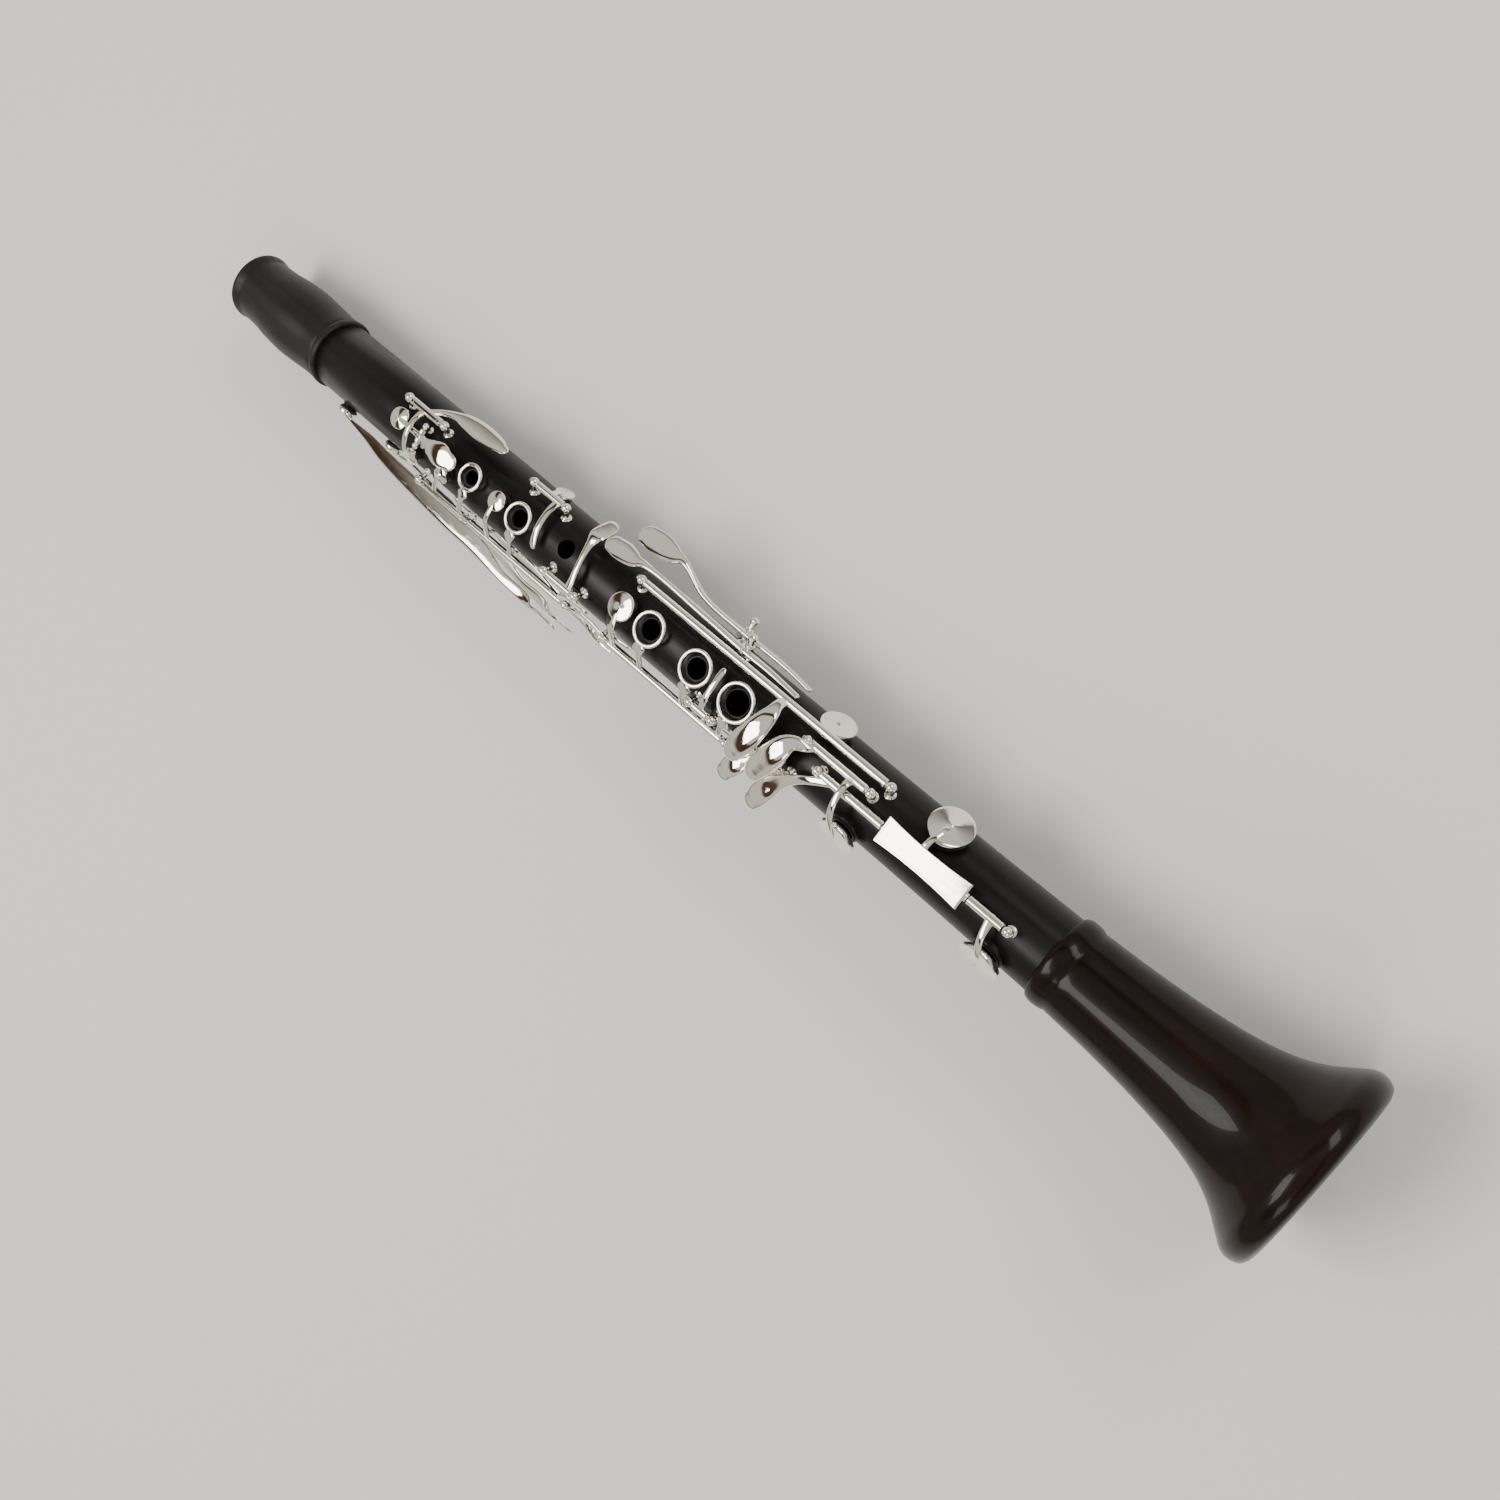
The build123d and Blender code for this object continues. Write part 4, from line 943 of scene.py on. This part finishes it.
ringOutline = [(0.8, 0.1), (0.62, 0.62), (0.1, 0.85), (-0.6, 0.7), (-0.8, 0.3), (-0.8, -0.5),
    (-0.4, -0.78), (0.3, -0.72), (0.7, -0.4)]
for name, design in keys.items():
    shape = newShape()
    isLever = name in leftLevers
    node = name + ("_lever" if isLever else "_key")
    for low, high, turn, distance in design.get("tubes", []):
        radius = 1.5 if name == "f_touch" else 1.75
        turned(shape, spot(low, turn, distance), alongBore, [
            (0, 0.95), (0, radius - 0.2), (0.2, radius), (1.5, radius), (1.6, radius - 0.14),
            (1.8, radius - 0.14), (1.9, radius),
            (high - low - 1.9, radius), (high - low - 1.8, radius - 0.14),
            (high - low - 1.6, radius - 0.14),
            (high - low - 1.5, radius), (high - low - 0.2, radius), (high - low, radius - 0.2),
            (high - low, 0.95),
        ], 32, closed=True)
    for station, turn, distance, half in design.get("hubs", []):
        across = spot(0, turn + 90, 1)
        radius = 1.95 if isLever else 1.6
        turned(shape, spot(station, turn, distance) - across * half, across,
               [(0, 0.65), (0, radius - 0.15), (0.15, radius), (2 * half - 0.15, radius),
                   (2 * half, radius - 0.15), (2 * half, 0.65)],
               28, closed=True)
    for station, radius, *where in design.get("rings", []):
        turn, height = where
        turned(shape, Vector((station, 0, 0)), spot(0, turn, 1),
               flow([(height + up, radius + out) for out, up in ringOutline + ringOutline[:1]], 3)[:-1],
                   64, closed=True)
    for points in design["bars"]:
        bar(shape, points, square=design.get("square", 2.6))
    if name in cups:
        station, turn, radius, gap = cups[name]
        face = woodReach(station) + body["seatRise"] + gap
    elif name == "register":
        station, turn, radius, gap = register["station"], 180.0, register["cup"], 0.2
        face = register["seat"] + gap
    else:
        radius = 0
    if radius:
        addCup(shape, station, turn, radius, face)
        pad = newShape()
        addPad(pad, station, turn, radius, face)
        finish(pad, name + "_pad_skin", node, padSkin, nodes=[name + "_pad"])
    if "plate" in design:
        addPlate(shape, *design["plate"], hinges["e"], reach + 1.05)
    finish(shape, name + "_keywork", node, silver, nodes=[node])
print("keys made")


# ---- floor, light and camera

floorMesh = bpy.data.meshes.new("floor")
side = 3.0
floorMesh.from_pydata([(-side, -side, 0), (side, -side, 0), (side, side, 0), (-side, side, 0)], [],
    [(0, 1, 2, 3)])
floor = bpy.data.objects.new("floor", floorMesh)
bpy.context.scene.collection.objects.link(floor)
floorPaint = bpy.data.materials.new("paleFloor")
floorPaint.use_nodes = True
floorShader = floorPaint.node_tree.nodes["Principled BSDF"]
floorShader.inputs["Base Color"].default_value = (0.86, 0.86, 0.845, 1)
floorShader.inputs["Roughness"].default_value = 0.75
floorMesh.materials.append(floorPaint)

world = bpy.data.worlds.new("studio")
bpy.context.scene.world = world
world.use_nodes = True
sky = world.node_tree
place = sky.nodes.new("ShaderNodeTexCoord").outputs["Generated"]
split = sky.nodes.new("ShaderNodeSeparateXYZ")
sky.links.new(place, split.inputs[0])
ramp = sky.nodes.new("ShaderNodeValToRGB")
for position, colour in (
    (0.0, (0.25, 0.22, 0.18)), (0.25, (0.7, 0.67, 0.6)), (0.6, (1.0, 0.97, 0.89)),
    (0.66, (0.1, 0.055, 0.03)),
    (0.76, (0.08, 0.045, 0.025)), (0.82, (1.0, 0.97, 0.9)), (1.0, (1.0, 0.97, 0.91)),
):
    stops = ramp.color_ramp.elements
    stop = stops.new(position) if 0 < position < 1 else stops[int(position)]
    stop.color = (*colour, 1)
sky.links.new(split.outputs["Z"], ramp.inputs["Fac"])
sky.links.new(ramp.outputs["Color"], sky.nodes["Background"].inputs["Color"])
sky.nodes["Background"].inputs["Strength"].default_value = 0.62


def addLight(name, place, aim, size, power, colour):
    lamp = bpy.data.lights.new(name, "AREA")
    lamp.shape = "RECTANGLE"
    lamp.size, lamp.size_y = size
    lamp.energy = power
    lamp.color = colour
    light = bpy.data.objects.new(name, lamp)
    light.location = place
    light.rotation_euler = (Vector(aim) - Vector(place)).to_track_quat("-Z", "Y").to_euler()
    bpy.context.scene.collection.objects.link(light)


addLight("ceilingLight", (0.75, 0.6, 1.9), (0, 0, 0), (1.3, 0.9), 30, (1.0, 0.98, 0.95))
addLight("windowLight", (-0.5, -1.5, 1.2), (0, 0, 0), (1.2, 0.5), 12, (1.0, 0.97, 0.93))
addLight("roomLight", (-1.2, 0.9, 1.4), (0, 0, 0), (0.6, 0.6), 6, (1.0, 0.94, 0.87))

lens = {"place": (19.9, -146.4, 554.5), "look": (0.3616, 0.2817, -0.8887),
    "up": (0.6133, -0.7899, -0.0009),
        "focal": 38.18, "shift": (-0.0013, 0.03)}
eye = bpy.data.cameras.new("camera")
camera = bpy.data.objects.new("camera", eye)
bpy.context.scene.collection.objects.link(camera)
bpy.context.scene.camera = camera
turnDown = lieDown.to_3x3().normalized()
look = (turnDown @ Vector(lens["look"])).normalized()
up = turnDown @ Vector(lens["up"])
right = look.cross(up).normalized()
up = right.cross(look)
camera.matrix_world = Matrix.Translation(lieDown @ Vector(lens["place"])) @ Matrix((
    (right.x, up.x, -look.x, 0), (right.y, up.y, -look.y, 0), (right.z, up.z, -look.z, 0), (0, 0, 0, 1),
))
eye.sensor_width = 36
eye.lens = lens["focal"]
eye.shift_x, eye.shift_y = lens["shift"]
eye.clip_start = 0.01
print("light and camera set")
